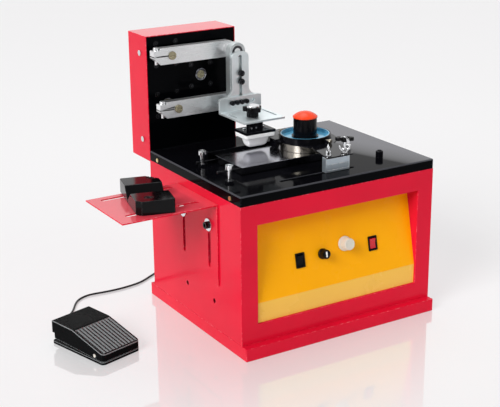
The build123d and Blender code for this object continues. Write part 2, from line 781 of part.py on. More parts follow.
# Gearmotor on the column's back cover, with the pinion on its shaft
motor_r = 24.0
motor_shaft_r = 4.0
motor_boss_r = 8.0
motor_front = gear_y[1] + 2 * sheet
motor_step = 4.0
with BuildPart() as arm_gearmotor:
    rod_y(drive_x, pinion_z, motor_r, motor_front, column_back - sheet)
    rod_y(drive_x, pinion_z, motor_boss_r, motor_front - sheet, motor_front)
    rod_y(drive_x, pinion_z, motor_shaft_r + run_gap, motor_front - sheet,
          motor_front + motor_step, mode=Mode.SUBTRACT)

pinion_plane = Plane(origin=(drive_x, gear_y[1], pinion_z), x_dir=(1, 0, 0), z_dir=(0, -1, 0))
with BuildPart() as motor_pinion:
    with BuildSketch(pinion_plane):
        with BuildLine():
            Polyline(*gear_outline(pinion_r, pinion_teeth, pinion_phase), close=True)
        make_face()
    extrude(amount=gear_y[1] - gear_y[0])
    rod_y(drive_x, pinion_z, motor_shaft_r, gear_y[1], motor_front + motor_step - gap)
motor_pinion.part.label = "motor_pinion"
export_step(motor_pinion.part, "parts/motor_pinion.step")

# Head: an upright coupler carried by the two arms
pin_x = pivot_x + arm_len
coupler_w = 26.0
coupler_t = 12.0
coupler_low = 13.0
coupler_y = (arm_low_y[0] - gap - coupler_t, arm_low_y[0] - gap)
roller_r = 8.6
open_pin_gap = 0.1
slide_screw_z = (327.8, 340.0)
slide_screw_x = pin_x + 1.75
slide_screw_r = 2.4
with BuildPart() as coupler:
    with BuildSketch(Plane(origin=(pin_x, coupler_y[1], 0), x_dir=(1, 0, 0), z_dir=(0, -1, 0))):
        with Locations((0, (pivot_low_z + pivot_up_z - coupler_low) / 2)):
            Rectangle(coupler_w, arm_rise + coupler_low)
        with Locations((0, pivot_up_z)):
            Circle(coupler_w / 2)
        with Locations((0, pivot_up_z), (0, pivot_low_z)):
            Circle(roller_r + seat_gap, mode=Mode.SUBTRACT)
    extrude(amount=coupler_t)
    for z in slide_screw_z:
        rod_y(slide_screw_x, z, slide_screw_r + seat_gap, coupler_y[0], coupler_y[1],
              mode=Mode.SUBTRACT)
coupler.part.label = "coupler"
export_step(coupler.part, "parts/coupler.step")

roller_step = 0.8
with BuildPart() as coupler_bearings:
    for z in (pivot_up_z, pivot_low_z):
        rod_y(pin_x, z, roller_r, coupler_y[0], coupler_y[1])
        rod_y(pin_x, z, pin_r + open_pin_gap, coupler_y[0], coupler_y[1], mode=Mode.SUBTRACT)
        for y in (coupler_y[0], coupler_y[1] - roller_step):
            with BuildSketch(Plane.XZ.offset(-y)):
                with Locations((pin_x, z)):
                    Circle(roller_r - roller_step)
                    Circle(pin_r + 2 * roller_step, mode=Mode.SUBTRACT)
            extrude(amount=-roller_step, mode=Mode.SUBTRACT)
coupler_bearings.part.label = "coupler_bearings"
export_step(coupler_bearings.part, "parts/coupler_bearings.step")

with BuildPart() as upper_pin:
    rod_y(pin_x, pivot_up_z, pin_r, coupler_y[0], arm_up_y[1])

with BuildPart() as lower_pin:
    rod_y(pin_x, pivot_low_z, pin_r, coupler_y[0], arm_low_y[1])

spacer_r = 8.0
with BuildPart() as pin_spacer:
    rod_y(pin_x, pivot_up_z, spacer_r, coupler_y[1] + gap, arm_up_y[0])
    rod_y(pin_x, pivot_up_z, pin_r + seat_gap, coupler_y[1] + gap, arm_up_y[0], mode=Mode.SUBTRACT)
export_group("upper_arm_shaft", *arm_parts["upper"], upper_pin, pin_spacer)
export_group("lower_arm_shaft", *arm_parts["lower"], lower_pin)

# Slotted plate: slides up and down on the coupler's two cap screws
slider_t = 4.2
slider_y = (coupler_y[0] - gap - slider_t, coupler_y[0] - gap)
slider_neck = 28.5
slider_top = 371.0
slider_corner = 9.0
slider_low = 288.0
flare_half = 35.0
flare_z = 304.5
flare_inner_z = 309.0
flare_r = 12.0
slot_w = 5.6
slider_slot_z = (303.0, 366.0)
slider_x = slide_screw_x
bracket_screw_x = (-51.0, -43.0, -35.0, -27.0)
bracket_screw_z = 298.0
bracket_screw_r = 2.2
with BuildPart() as slotted_plate:
    with BuildSketch(Plane(origin=(slider_x, slider_y[1], 0), x_dir=(1, 0, 0), z_dir=(0, -1, 0))):
        with BuildLine():
            FilletPolyline(
                (-slider_neck / 2, slider_top),
                (-slider_neck / 2, flare_inner_z),
                (-flare_half, flare_z),
                (-flare_half, slider_low),
                (flare_half, slider_low),
                (flare_half, flare_z),
                (slider_neck / 2, flare_inner_z),
                (slider_neck / 2, slider_top),
                radius=(slider_corner, flare_r, sheet, 0, 0, sheet, flare_r, slider_corner),
                close=True,
            )
        make_face()
        with Locations((0, (slider_slot_z[0] + slider_slot_z[1]) / 2)):
            SlotOverall(slider_slot_z[1] - slider_slot_z[0], slot_w, rotation=quarter,
                        mode=Mode.SUBTRACT)
    extrude(amount=slider_t)
    for x in bracket_screw_x:
        rod_y(x, bracket_screw_z, bracket_screw_r + seat_gap, slider_y[0], slider_y[1],
              mode=Mode.SUBTRACT)
slotted_plate.part.label = "slotted_plate"
export_step(slotted_plate.part, "parts/slotted_plate.step")

slide_head_r = 4.4
slide_head_h = 5.0
hex_key = 3.0
with BuildPart() as slide_screws:
    for z in slide_screw_z:
        rod_y(slide_screw_x, z, slide_screw_r, slider_y[0] - gap, coupler_y[1])
        rod_y(slide_screw_x, z, slide_head_r, slider_y[0] - gap - slide_head_h, slider_y[0] - gap)
        with BuildSketch(Plane.XZ.offset(gap + slide_head_h - slider_y[0])):
            with Locations((slide_screw_x, z)):
                RegularPolygon(hex_key / 2, 6, major_radius=False)
        extrude(amount=-slide_head_h / 2, mode=Mode.SUBTRACT)
slide_screws.part.label = "slide_screws"
export_step(slide_screws.part, "parts/slide_screws.step")

# Angle bracket: hangs on the slotted plate and carries the pad holder
bracket_t = 3.0
bracket_x = (-72.0, -4.0)
bracket_y = (slider_y[0] - gap - bracket_t, slider_y[0] - gap)
bracket_front = 6.0
bracket_top = 306.5
bracket_under = 283.3
bracket_corner = 6.0
side_left = 12.0
side_right = 1.5
stud_at = (-43.5, 30.0)
stud_r = 3.0
stud_slot_y = (16.4, 45.6)
flange_slots = ((-65.0, 38.0, 63.0), (-9.5, 20.0, 59.0))
flange_slot_w = 3.6
with BuildPart() as angle_bracket:
    with BuildSketch(Plane.XZ.offset(-bracket_y[1])):
        with BuildLine():
            FilletPolyline(
                (bracket_x[0], bracket_under),
                (bracket_x[1], bracket_under),
                (bracket_x[1], bracket_top),
                (bracket_x[0], bracket_top),
                radius=(0, 0, bracket_corner, bracket_corner),
                close=True,
            )
        make_face()
        slot_x = (bracket_screw_x[0] - bracket_screw_r - side_right - gap,
                  bracket_screw_x[-1] + bracket_screw_r + side_left + gap)
        with Locations(((slot_x[0] + slot_x[1]) / 2, bracket_screw_z)):
            SlotOverall(slot_x[1] - slot_x[0], slot_w, mode=Mode.SUBTRACT)
    extrude(amount=bracket_t)
    brick(bracket_x, (bracket_front, bracket_y[1]), (bracket_under, bracket_under + bracket_t))
    with BuildSketch(Plane.XY.offset(bracket_under)):
        for x, start, end in flange_slots:
            with Locations((x, (start + end) / 2)):
                SlotOverall(end - start, flange_slot_w, rotation=quarter)
        with Locations((stud_at[0], (stud_slot_y[0] + stud_slot_y[1]) / 2)):
            SlotOverall(stud_slot_y[1] - stud_slot_y[0], 2 * (stud_r + gap), rotation=quarter)
    extrude(amount=bracket_t, mode=Mode.SUBTRACT)
angle_bracket.part.label = "angle_bracket"
export_step(angle_bracket.part, "parts/angle_bracket.step")

bracket_head_r = 3.5
bracket_head_h = 3.5
with BuildPart() as bracket_screws:
    for x in bracket_screw_x:
        rod_y(x, bracket_screw_z, bracket_screw_r, bracket_y[0] - gap, slider_y[1])
        rod_y(x, bracket_screw_z, bracket_head_r, bracket_y[0] - gap - bracket_head_h,
              bracket_y[0] - gap)
        with BuildSketch(Plane.XZ.offset(gap + bracket_head_h - bracket_y[0])):
            with Locations((x, bracket_screw_z)):
                RegularPolygon(hex_key / 2, 6, major_radius=False)
        extrude(amount=-bracket_head_h / 2, mode=Mode.SUBTRACT)
bracket_screws.part.label = "bracket_screws"
export_step(bracket_screws.part, "parts/bracket_screws.step")

# Pad holder: a stud in a black block, the pad's black plate, and the soft pad below it
pad_at = (-45.0, 21.0)
pad_w = 49.0
pad_d = 33.0
pad_plate_t = 4.0
pad_plate_top = 271.0
pad_flange_t = 6.0
pad_bottom = 247.0
pad_tip_w = 26.0
pad_tip_d = 12.0
pad_root_w = 36.0
pad_root_d = 23.0
holder_face_x = (-60.0, -43.0)
holder_face_t = 4.6
holder_x = (-50.0, -37.0)
holder_y = (12.3, 37.0)
holder_dot_r = 1.3
holder_dot_x = (-55.8, -48.2)
holder_dot_up = 3.6
stud_in = 8.0
stud_top = 299.0
with BuildPart() as pad_block:
    brick(holder_x, holder_y, (pad_plate_top, bracket_under - gap))
    brick(holder_face_x, (holder_y[0], holder_y[0] + holder_face_t),
          (pad_plate_top, bracket_under - gap))
    rod_z(stud_at[0], stud_at[1], stud_r + seat_gap, pad_plate_top + stud_in / 2,
          bracket_under - gap, mode=Mode.SUBTRACT)
    for x in holder_dot_x:
        rod_y(x, pad_plate_top + holder_dot_up, holder_dot_r + seat_gap, holder_y[0],
              holder_y[0] + 2 * holder_dot_r, mode=Mode.SUBTRACT)

with BuildPart() as block_screws:
    for x in holder_dot_x:
        rod_y(x, pad_plate_top + holder_dot_up, holder_dot_r, holder_y[0],
              holder_y[0] + 2 * holder_dot_r)

with BuildPart() as pad_stud:
    rod_z(stud_at[0], stud_at[1], stud_r, pad_plate_top + stud_in / 2, stud_top)

pad_screw_r = 1.5
pad_screw_head_r = 2.5
pad_screw_head_h = 1.4
pad_screw_share = 0.315
pad_screw_y = 26.0
pad_screw_x = (pad_at[0] - pad_screw_share * pad_w, pad_at[0] + pad_screw_share * pad_w)
with BuildPart() as pad_plate:
    brick((pad_at[0] - pad_w / 2, pad_at[0] + pad_w / 2),
          (pad_at[1] - pad_d / 2, pad_at[1] + pad_d / 2),
          (pad_plate_top - pad_plate_t, pad_plate_top))
    for x in pad_screw_x:
        rod_z(x, pad_screw_y, pad_screw_r + seat_gap, pad_plate_top - pad_plate_t, pad_plate_top,
              mode=Mode.SUBTRACT)
export_group("pad_block", pad_block, pad_plate)

with BuildPart() as pad_screws:
    for x in pad_screw_x:
        rod_z(x, pad_screw_y, pad_screw_r, pad_plate_top - pad_plate_t, pad_plate_top)
        rod_z(x, pad_screw_y, pad_screw_head_r, pad_plate_top, pad_plate_top + pad_screw_head_h)
export_group("pad_fasteners", pad_stud, pad_screws, block_screws)

pad_under = pad_plate_top - pad_plate_t
pad_edge = 2.0
with BuildPart() as print_pad:
    brick((pad_at[0] - pad_w / 2, pad_at[0] + pad_w / 2),
          (pad_at[1] - pad_d / 2, pad_at[1] + pad_d / 2),
          (pad_under - pad_flange_t, pad_under))
    with BuildSketch(Plane.XY.offset(pad_under - pad_flange_t)):
        with Locations(pad_at):
            RectangleRounded(pad_root_w, pad_root_d, pad_edge)
    with BuildSketch(Plane.XY.offset(pad_bottom)):
        with Locations(pad_at):
            RectangleRounded(pad_tip_w, pad_tip_d, pad_edge)
    loft()
print_pad.part.label = "print_pad"
export_step(print_pad.part, "parts/print_pad.step")

# Star knob that clamps the pad holder to the bracket's flange
star_low = bracket_under + bracket_t + gap
star_hub_r = 8.6
star_hub_h = 8.0
star_lobe_r = 3.9
star_lobe_at = 10.2
star_h = 6.6
star_flute_r = 1.5
star_flutes = 10
star_lobes = 5
star_cap_r = 9.8
star_cap_h = 2.2
with BuildPart() as star_knob:
    with BuildSketch(Plane.XY.offset(star_low)):
        with Locations(stud_at):
            Circle(star_hub_r)
            with PolarLocations(star_hub_r, star_flutes):
                Circle(star_flute_r, mode=Mode.SUBTRACT)
            Circle(stud_r + run_gap, mode=Mode.SUBTRACT)
    extrude(amount=star_hub_h)
    with BuildSketch(Plane.XY.offset(star_low + star_hub_h)):
        with Locations(stud_at):
            Circle(star_lobe_at)
            with PolarLocations(star_lobe_at, star_lobes):
                Circle(star_lobe_r)
            Circle(stud_r + run_gap, mode=Mode.SUBTRACT)
    extrude(amount=star_h)
star_knob.part.label = "star_knob"
export_step(star_knob.part, "parts/star_knob.step")

with BuildPart() as star_knob_cap:
    rod_z(stud_at[0], stud_at[1], star_cap_r, star_low + star_hub_h + star_h,
          star_low + star_hub_h + star_h + star_cap_h)
    fillet(star_knob_cap.faces().sort_by(Axis.Z)[-1].edges(), star_cap_h / 2)
star_knob_cap.part.label = "star_knob_cap"
export_step(star_knob_cap.part, "parts/star_knob_cap.step")

# Ink cup: a steel ring on the plate under a black body with a blue dish and a capped handle
cup_at = (21.6, -7.5)
cup_ring_r = 36.5
cup_ring_in = 32.5
cup_ring_h = 9.9
cup_body_r = 36.9
cup_body_h = 10.3
dish_r = 35.0
dish_wall = 1.2
dish_deep = 5.0
handle_r = 17.0
handle_top = 284.7
cap_r = 17.8
cap_rim = 1.6
cap_dome = 7.2
cup_low = plate_top + gap
cup_mid = cup_low + cup_ring_h
cup_top = cup_mid + cup_body_h
dish_floor = cup_top - dish_deep
with BuildPart() as cup_ring:
    rod_z(cup_at[0], cup_at[1], cup_ring_r, cup_low, cup_mid)
    rod_z(cup_at[0], cup_at[1], cup_ring_in, cup_low, cup_mid, mode=Mode.SUBTRACT)

pivot_turn = 107.5
pivot_z = 256.4
pivot_pin_r = 2.0
with BuildPart() as cup_body:
    rod_z(cup_at[0], cup_at[1], cup_body_r, cup_mid, cup_top)
    rod_z(cup_at[0], cup_at[1], cup_ring_in, cup_mid, dish_floor - 2 * dish_wall,
          mode=Mode.SUBTRACT)
    rod_z(cup_at[0], cup_at[1], dish_r + seat_gap, dish_floor - dish_wall, cup_top,
          mode=Mode.SUBTRACT)

with BuildPart() as cup_dish:
    rod_z(cup_at[0], cup_at[1], dish_r, dish_floor - dish_wall, cup_top)
    rod_z(cup_at[0], cup_at[1], dish_r - dish_wall, dish_floor, cup_top, mode=Mode.SUBTRACT)
cup_dish.part.label = "cup_dish"
export_step(cup_dish.part, "parts/cup_dish.step")

handle_foot_r = 19.4
handle_foot_h = 1.6
with BuildPart() as cup_handle:
    rod_z(cup_at[0], cup_at[1], handle_r, dish_floor, handle_top)
    rod_z(cup_at[0], cup_at[1], handle_foot_r, dish_floor, dish_floor + handle_foot_h)
export_group("cup_body", cup_body, cup_handle)

cap_ball = (cap_r ** 2 + cap_dome ** 2) / (2 * cap_dome)
with BuildPart() as cup_cap:
    with BuildSketch(Plane(origin=(cup_at[0], cup_at[1], handle_top), x_dir=(1, 0, 0),
                           z_dir=(0, -1, 0))):
        with BuildLine():
            Polyline((0, cap_rim + cap_dome), (0, 0), (cap_r, 0), (cap_r, cap_rim))
            RadiusArc((cap_r, cap_rim), (0, cap_rim + cap_dome), -cap_ball)
        make_face()
    revolve(axis=Axis((cup_at[0], cup_at[1], 0), (0, 0, 1)))
cup_cap.part.label = "cup_cap"
export_step(cup_cap.part, "parts/cup_cap.step")

# Cup carrier: a black arm and an open ring round the cup, with two notched lugs for its pins
carrier_t = 2.0
carrier_low = 251.2
carrier_in = 38.0
carrier_out = 46.0
lug_w = 8.0
lug_top = pivot_z + 2.0
lug_in = 38.6
lug_out = 43.6
boss_x = (-22.0, -12.0)
boss_y = (4.0, 19.0)
boss_z = (242.0, 255.0)
thumb_at = (39.0, -89.0)
arm_points = (
    (-9.0, -107.0), (34.0, -107.0), (45.0, -92.0), (47.0, -60.0), (40.0, -40.0),
    (5.0, -45.0), (-0.5, -68.0),
)
open_points = (
    (-20.9, 13.8), (-60.0, 30.0), (-60.0, -100.0), (-10.0, -100.0), (1.5, -56.0),
)


def lug_plane(turn):
    """Plane square to a cup pin: origin on the cup's axis, local x outward, local y up."""
    out = (cos(radians(turn)), sin(radians(turn)), 0)
    return Plane(origin=(cup_at[0], cup_at[1], pivot_z), x_dir=out, z_dir=(out[1], -out[0], 0))


lug_turns = (pivot_turn, pivot_turn - 2 * quarter)
with BuildPart() as cup_carrier:
    with BuildSketch(Plane.XY.offset(carrier_low)):
        with Locations(cup_at):
            Circle(carrier_out)
        with BuildLine():
            Polyline(*arm_points, close=True)
        make_face()
        with BuildLine():
            Polyline(*open_points, close=True)
        make_face(mode=Mode.SUBTRACT)
        with Locations(cup_at):
            Circle(carrier_in, mode=Mode.SUBTRACT)
        with Locations(*((x, post_mid_y) for x in stud_x)):
            Circle(carriage_stud_r + seat_gap, mode=Mode.SUBTRACT)
        with Locations(thumb_at):
            Circle(carriage_stud_r + seat_gap, mode=Mode.SUBTRACT)
    extrude(amount=carrier_t)
    brick(boss_x, boss_y, boss_z)
    rod_z(cup_at[0], cup_at[1], carrier_in, boss_z[0], boss_z[1], mode=Mode.SUBTRACT)
    for turn in lug_turns:
        with BuildSketch(lug_plane(turn)):
            with Locations(((lug_in + lug_out) / 2, (carrier_low + lug_top) / 2 - pivot_z)):
                Rectangle(lug_out - lug_in, lug_top - carrier_low)
        extrude(amount=lug_w / 2, both=True)
        with BuildSketch(lug_plane(turn)):
            with Locations(((lug_in + lug_out) / 2, (lug_top - pivot_z - pivot_pin_r) / 2)):
                Rectangle(lug_out - lug_in, lug_top - pivot_z + pivot_pin_r + 2 * run_gap)
        extrude(amount=pivot_pin_r + run_gap, both=True, mode=Mode.SUBTRACT)
cup_carrier.part.label = "cup_carrier"
export_step(cup_carrier.part, "parts/cup_carrier.step")

pivot_head_r = 3.2
pivot_head_len = 3.0
with BuildPart() as cup_pins:
    for turn in lug_turns:
        out = Vector(cos(radians(turn)), sin(radians(turn)), 0)
        axis_point = Vector(cup_at[0], cup_at[1], pivot_z)
        with BuildSketch(Plane(axis_point + out * cup_body_r, z_dir=out)):
            Circle(pivot_pin_r)
        extrude(amount=lug_out + gap - cup_body_r)
        with BuildSketch(Plane(axis_point + out * (lug_out + gap), z_dir=out)):
            Circle(pivot_head_r)
        extrude(amount=pivot_head_len)
export_group("cup_ring", cup_ring, cup_pins)

# Carriage: silver post above the lid, neck through its slot, body on two guide rods below
post_top = carrier_low
post_frame = 3.0
post_recess = 0.9
post_shelf_z = 241.5
with BuildPart() as carriage_post:
    brick(post_x, post_y, (lid_top + gap, post_top))
    brick((post_x[0] + post_frame, post_x[1] - post_frame / 2), (post_y[0], post_y[0] + post_recess),
          (post_shelf_z, post_top - post_frame / 2), mode=Mode.SUBTRACT)
    brick((post_x[0] + post_frame, post_x[1] - post_frame / 2),
          (post_y[0], post_y[0] + post_recess / 2),
          (lid_top + gap + post_frame, post_shelf_z - post_frame / 3), mode=Mode.SUBTRACT)
    for x in stud_x:
        rod_z(x, post_mid_y, carriage_stud_r + seat_gap, lid_top + gap, post_top,
              mode=Mode.SUBTRACT)
carriage_post.part.label = "carriage_post"
export_step(carriage_post.part, "parts/carriage_post.step")

guide_y = (-114.0, -83.4)
guide_z = 208.0
guide_r = 4.0
carriage_y = (-121.0, -76.4)
carriage_z = (201.0, 216.0)
neck_in = 1.5
rack_module = 1.0
rack_pitch = pi * rack_module
cup_pinion_teeth = 24
cup_pinion_r = rack_module * cup_pinion_teeth / 2
rack_body = 3.0
rack_y = carriage_y[1] + rack_body
rack_teeth = 31
cup_pinion_x = -1.0
rack_start = 2.5
rack_first_x = cup_pinion_x - rack_start * rack_pitch
rack_z = (204.0, 211.0)
with BuildPart() as cup_carriage:
    brick(post_x, carriage_y, carriage_z)
    brick((post_x[0] + neck_in, post_x[1] - neck_in),
          (post_mid_y - neck_y_half, post_mid_y + neck_y_half), (carriage_z[1], lid_top + gap))
    for y in guide_y:
        rod_x(y, guide_z, guide_r + run_gap, post_x[0], post_x[1], mode=Mode.SUBTRACT)
    for x in stud_x:
        rod_z(x, post_mid_y, carriage_stud_r + seat_gap, guide_z, lid_top + gap,
              mode=Mode.SUBTRACT)

rack_half = tooth_share * rack_pitch / 2
rack_tip = tip_share * rack_module
rack_root = root_share * rack_module
with BuildPart() as cup_rack:
    with BuildSketch(Plane.XY.offset(rack_z[0])):
        with BuildLine():
            points = [(rack_first_x - rack_pitch, carriage_y[1])]
            points.append((rack_first_x - rack_pitch, rack_y - rack_root))
            for tooth in range(rack_teeth):
                middle = rack_first_x + tooth * rack_pitch
                for side, rise in ((-1, -rack_root), (-1, rack_tip), (1, rack_tip), (1, -rack_root)):
                    points.append((middle + side * (rack_half - rise * tan(pressure)),
                                   rack_y + rise))
            points.append((rack_first_x + rack_teeth * rack_pitch, rack_y - rack_root))
            points.append((rack_first_x + rack_teeth * rack_pitch, carriage_y[1]))
            Polyline(*points, close=True)
        make_face()
    extrude(amount=rack_z[1] - rack_z[0])
export_group("cup_carriage", cup_carriage, cup_rack)

# Rod blocks hang from the lid and hold the two guide rods
rod_block_x = (-116.0, 96.0)
rod_block_t = 10.0
with BuildPart() as rod_blocks:
    for x in rod_block_x:
        brick((x, x + rod_block_t), (carriage_y[0], carriage_y[1]), (carriage_z[0], lid_under))
        for y in guide_y:
            rod_x(y, guide_z, guide_r + seat_gap, x, x + rod_block_t, mode=Mode.SUBTRACT)

with BuildPart() as guide_rods:
    for y in guide_y:
        rod_x(y, guide_z, guide_r, rod_block_x[0], rod_block_x[1] + rod_block_t)
guide_rods.part.label = "guide_rods"
export_step(guide_rods.part, "parts/guide_rods.step")

# Cup gearmotor under the lid, on a hanging bracket, with its pinion in the rack
cup_motor_r = 15.0
cup_motor_low = 160.0
cup_motor_top = 198.0
cup_shaft_r = 3.0
cup_shaft_in = 5.0
cup_pinion_y = rack_y + cup_pinion_r
hanger_t = 2.0
with BuildPart() as cup_gearmotor:
    rod_z(cup_pinion_x, cup_pinion_y, cup_motor_r, cup_motor_low, cup_motor_top)
    rod_z(cup_pinion_x, cup_pinion_y, cup_shaft_r + run_gap, cup_motor_top - cup_shaft_in,
          cup_motor_top, mode=Mode.SUBTRACT)
export_group("gearmotors", arm_gearmotor, cup_gearmotor)

with BuildPart() as cup_motor_hanger:
    reach = cup_motor_r + 2 * hanger_t
    brick((cup_pinion_x - reach, cup_pinion_x + reach),
          (cup_pinion_y - cup_motor_r / 2, cup_pinion_y + cup_motor_r),
          (cup_motor_top, cup_motor_top + hanger_t))
    brick((cup_pinion_x - reach, cup_pinion_x + reach),
          (cup_pinion_y + cup_motor_r, cup_pinion_y + cup_motor_r + hanger_t),
          (cup_motor_top, lid_under))
    rod_z(cup_pinion_x, cup_pinion_y, 2 * cup_shaft_r, cup_motor_top, cup_motor_top + hanger_t,
          mode=Mode.SUBTRACT)
export_group("inner_brackets", lid_tabs, column_rails, rod_blocks, cup_motor_hanger)

cup_pinion_phase = -pi / 2
with BuildPart() as cup_pinion:
    with BuildSketch(Plane.XY.offset(rack_z[0])):
        with BuildLine():
            points = []
            for tooth in range(cup_pinion_teeth):
                middle = cup_pinion_phase + 2 * pi * tooth / cup_pinion_teeth
                for side, rise in ((-1, -rack_root), (-1, rack_tip), (1, rack_tip), (1, -rack_root)):
                    half = (rack_half - rise * tan(pressure)) / cup_pinion_r
                    reach = cup_pinion_r + rise
                    points.append((cup_pinion_x + reach * cos(middle + side * half),
                                   cup_pinion_y + reach * sin(middle + side * half)))
            Polyline(*points, close=True)
        make_face()
    extrude(amount=rack_z[1] - rack_z[0])
    rod_z(cup_pinion_x, cup_pinion_y, cup_shaft_r, cup_motor_top - cup_shaft_in + gap, rack_z[0])
cup_pinion.part.label = "cup_pinion"
export_step(cup_pinion.part, "parts/cup_pinion.step")

# Studs through the post, with two wing nuts and a tension knob above the second
stud_top_z = (266.0, 274.0)
with BuildPart() as carriage_studs:
    for x, top in zip(stud_x, stud_top_z):
        rod_z(x, post_mid_y, carriage_stud_r, guide_z, top)
    rod_z(thumb_at[0], thumb_at[1], carriage_stud_r, carrier_low, thumb_top - thumb_h / 2)

carrier_top = carrier_low + carrier_t
wing_hub_r = 4.0
wing_hub_h = 6.0
wing_top = 13.5
wing_reach = 10.6
wing_root = 2.5
wing_t = 2.2
wing_turns = (56.0, -31.0)
wing_nuts = []
for x, turn in zip(stud_x, wing_turns):
    wing_low = carrier_top + gap
    with BuildPart() as wing_nut:
        rod_z(x, post_mid_y, wing_hub_r, wing_low, wing_low + wing_hub_h)
        wing_dir = (cos(radians(turn)), sin(radians(turn)), 0)
        with BuildSketch(Plane(origin=(x, post_mid_y, wing_low), x_dir=wing_dir,
                               z_dir=(wing_dir[1], -wing_dir[0], 0))):
            for side in (-1, 1):
                with BuildLine():
                    Polyline(
                        (side * wing_root, wing_root / 2),
                        (side * wing_reach, wing_hub_h),
                        (side * wing_reach, wing_top - wing_t),
                        (side * (wing_reach - wing_t), wing_top),
                        (side * wing_root, wing_hub_h),
                        close=True,
                    )
                make_face()
        extrude(amount=wing_t / 2, both=True)
        rod_z(x, post_mid_y, carriage_stud_r + run_gap, wing_low, wing_low + wing_top,
              mode=Mode.SUBTRACT)
    wing_nuts.append(wing_nut)

tension_low = 269.0
tension_hub_r = 4.6
tension_h = 7.0
lobe_r = 4.4
lobe_at = 8.6
with BuildPart() as tension_knob:
    rod_z(stud_x[1], post_mid_y, tension_hub_r, tension_low, tension_low + tension_h)
    for side in (-1, 1):
        lobe_x = stud_x[1] + side * lobe_at * cos(radians(wing_turns[1]))
        lobe_y = post_mid_y + side * lobe_at * sin(radians(wing_turns[1]))
        rod_z(lobe_x, lobe_y, lobe_r, tension_low + tension_h / 4, tension_low + tension_h)
    rod_z(stud_x[1], post_mid_y, carriage_stud_r + run_gap, tension_low,
          tension_low + tension_h - sheet, mode=Mode.SUBTRACT)
tension_knob.part.label = "tension_knob"
export_step(tension_knob.part, "parts/tension_knob.step")

with BuildPart() as thumb_screw:
    rod_z(thumb_at[0], thumb_at[1], thumb_r, carrier_top, thumb_top)
    rod_z(thumb_at[0], thumb_at[1], carriage_stud_r + seat_gap, carrier_top,
          thumb_top - thumb_h / 2, mode=Mode.SUBTRACT)
    chamfer(thumb_screw.faces().sort_by(Axis.Z)[-1].edges(), sheet / 2)
export_group("carriage_nuts", carriage_studs, *wing_nuts, thumb_screw)

# Shelf: a red angle plate beside the cabinet, held by two bolts in its upright slots
shelf_t = 2.0
shelf_x = (-301.0, left_x - gap)
shelf_y = (-71.0, 43.6)
shelf_top = 203.8
shelf_low = 86.6
shelf_down = 3.0
jig_slot_y = (-45.0, 30.5)
jig_slot_x = (-284.0, -175.0)
slot_r = bolt_r + gap
shelf_slot_z = (shelf_bolt_z - shelf_up - slot_r - gap, shelf_bolt_z + shelf_down + slot_r + gap)
with BuildPart() as shelf_bracket:
    brick(shelf_x, shelf_y, (shelf_top - shelf_t, shelf_top))
    brick((shelf_x[1] - shelf_t, shelf_x[1]), shelf_y, (shelf_low, shelf_top))
    with BuildSketch(Plane.XY.offset(shelf_top)):
        for y in jig_slot_y:
            with Locations(((jig_slot_x[0] + jig_slot_x[1]) / 2, y)):
                SlotOverall(jig_slot_x[1] - jig_slot_x[0], 2 * slot_r)
    extrude(amount=-shelf_t, mode=Mode.SUBTRACT)
    with BuildSketch(Plane.YZ.offset(shelf_x[1])):
        for y in shelf_bolt_y:
            with Locations((y, (shelf_slot_z[0] + shelf_slot_z[1]) / 2)):
                SlotOverall(shelf_slot_z[1] - shelf_slot_z[0], 2 * slot_r, rotation=quarter)
    extrude(amount=-shelf_t, mode=Mode.SUBTRACT)
shelf_bracket.part.label = "shelf_bracket"
export_step(shelf_bracket.part, "parts/shelf_bracket.step")

washer_r = 9.0
washer_t = 1.5
shelf_head_r = 5.0
shelf_head_h = 5.0
shelf_nut_h = 4.5
washer_x = shelf_x[1] - shelf_t - gap
with BuildPart() as shelf_washers:
    for y in shelf_bolt_y:
        rod_x(y, shelf_bolt_z, washer_r, washer_x - washer_t, washer_x)
        rod_x(y, shelf_bolt_z, bolt_r + seat_gap, washer_x - washer_t, washer_x,
              mode=Mode.SUBTRACT)

with BuildPart() as shelf_bolts:
    for y in shelf_bolt_y:
        rod_x(y, shelf_bolt_z, bolt_r, washer_x - washer_t, left_x + sheet + shelf_nut_h)
        rod_x(y, shelf_bolt_z, shelf_head_r, washer_x - washer_t - shelf_head_h,
              washer_x - washer_t)
        rod_x(y, shelf_bolt_z, shelf_head_r, left_x + sheet, left_x + sheet + shelf_nut_h)
        with BuildSketch(Plane.YZ.offset(washer_x - washer_t - shelf_head_h)):
            with Locations((y, shelf_bolt_z)):
                RegularPolygon(clamp_socket / 2, 6, major_radius=False)
        extrude(amount=shelf_head_h / 2, mode=Mode.SUBTRACT)
export_group("shelf_bolts", shelf_bolts, shelf_washers)

# Fixture on the shelf: two black blocks whose facing ends slope down into a V
jig_at = (-233.0, -4.0)
jig_turn = -14.0
jig_half = 26.0
jig_front = 60.0
jig_back = 50.0
jig_h = 19.4
jig_gap = 0.8
vee_front = 22.0
vee_back = 16.0
vee_h = 4.0
jig_small_cut = 1.5
jig_front_cuts = (7.0, jig_small_cut)
jig_back_cuts = (jig_small_cut, 16.0)
jig_bolt_x = (-250.0, -208.5)
jig_dir = (cos(radians(jig_turn)), sin(radians(jig_turn)), 0)
jig_plane = Plane(origin=(jig_at[0], jig_at[1], shelf_top + gap), x_dir=jig_dir, z_dir=(0, 0, 1))
jig_side = Plane(origin=jig_plane.origin, x_dir=jig_plane.y_dir, z_dir=jig_plane.x_dir)
jig_bolt_at = []
for x, y in zip(jig_bolt_x, jig_slot_y):
    place = jig_plane.to_local_coords(Vector(x, y, shelf_top))
    jig_bolt_at.append((place.X, place.Y))
counter_r = 5.6
counter_h = 5.0
jig_blocks = []
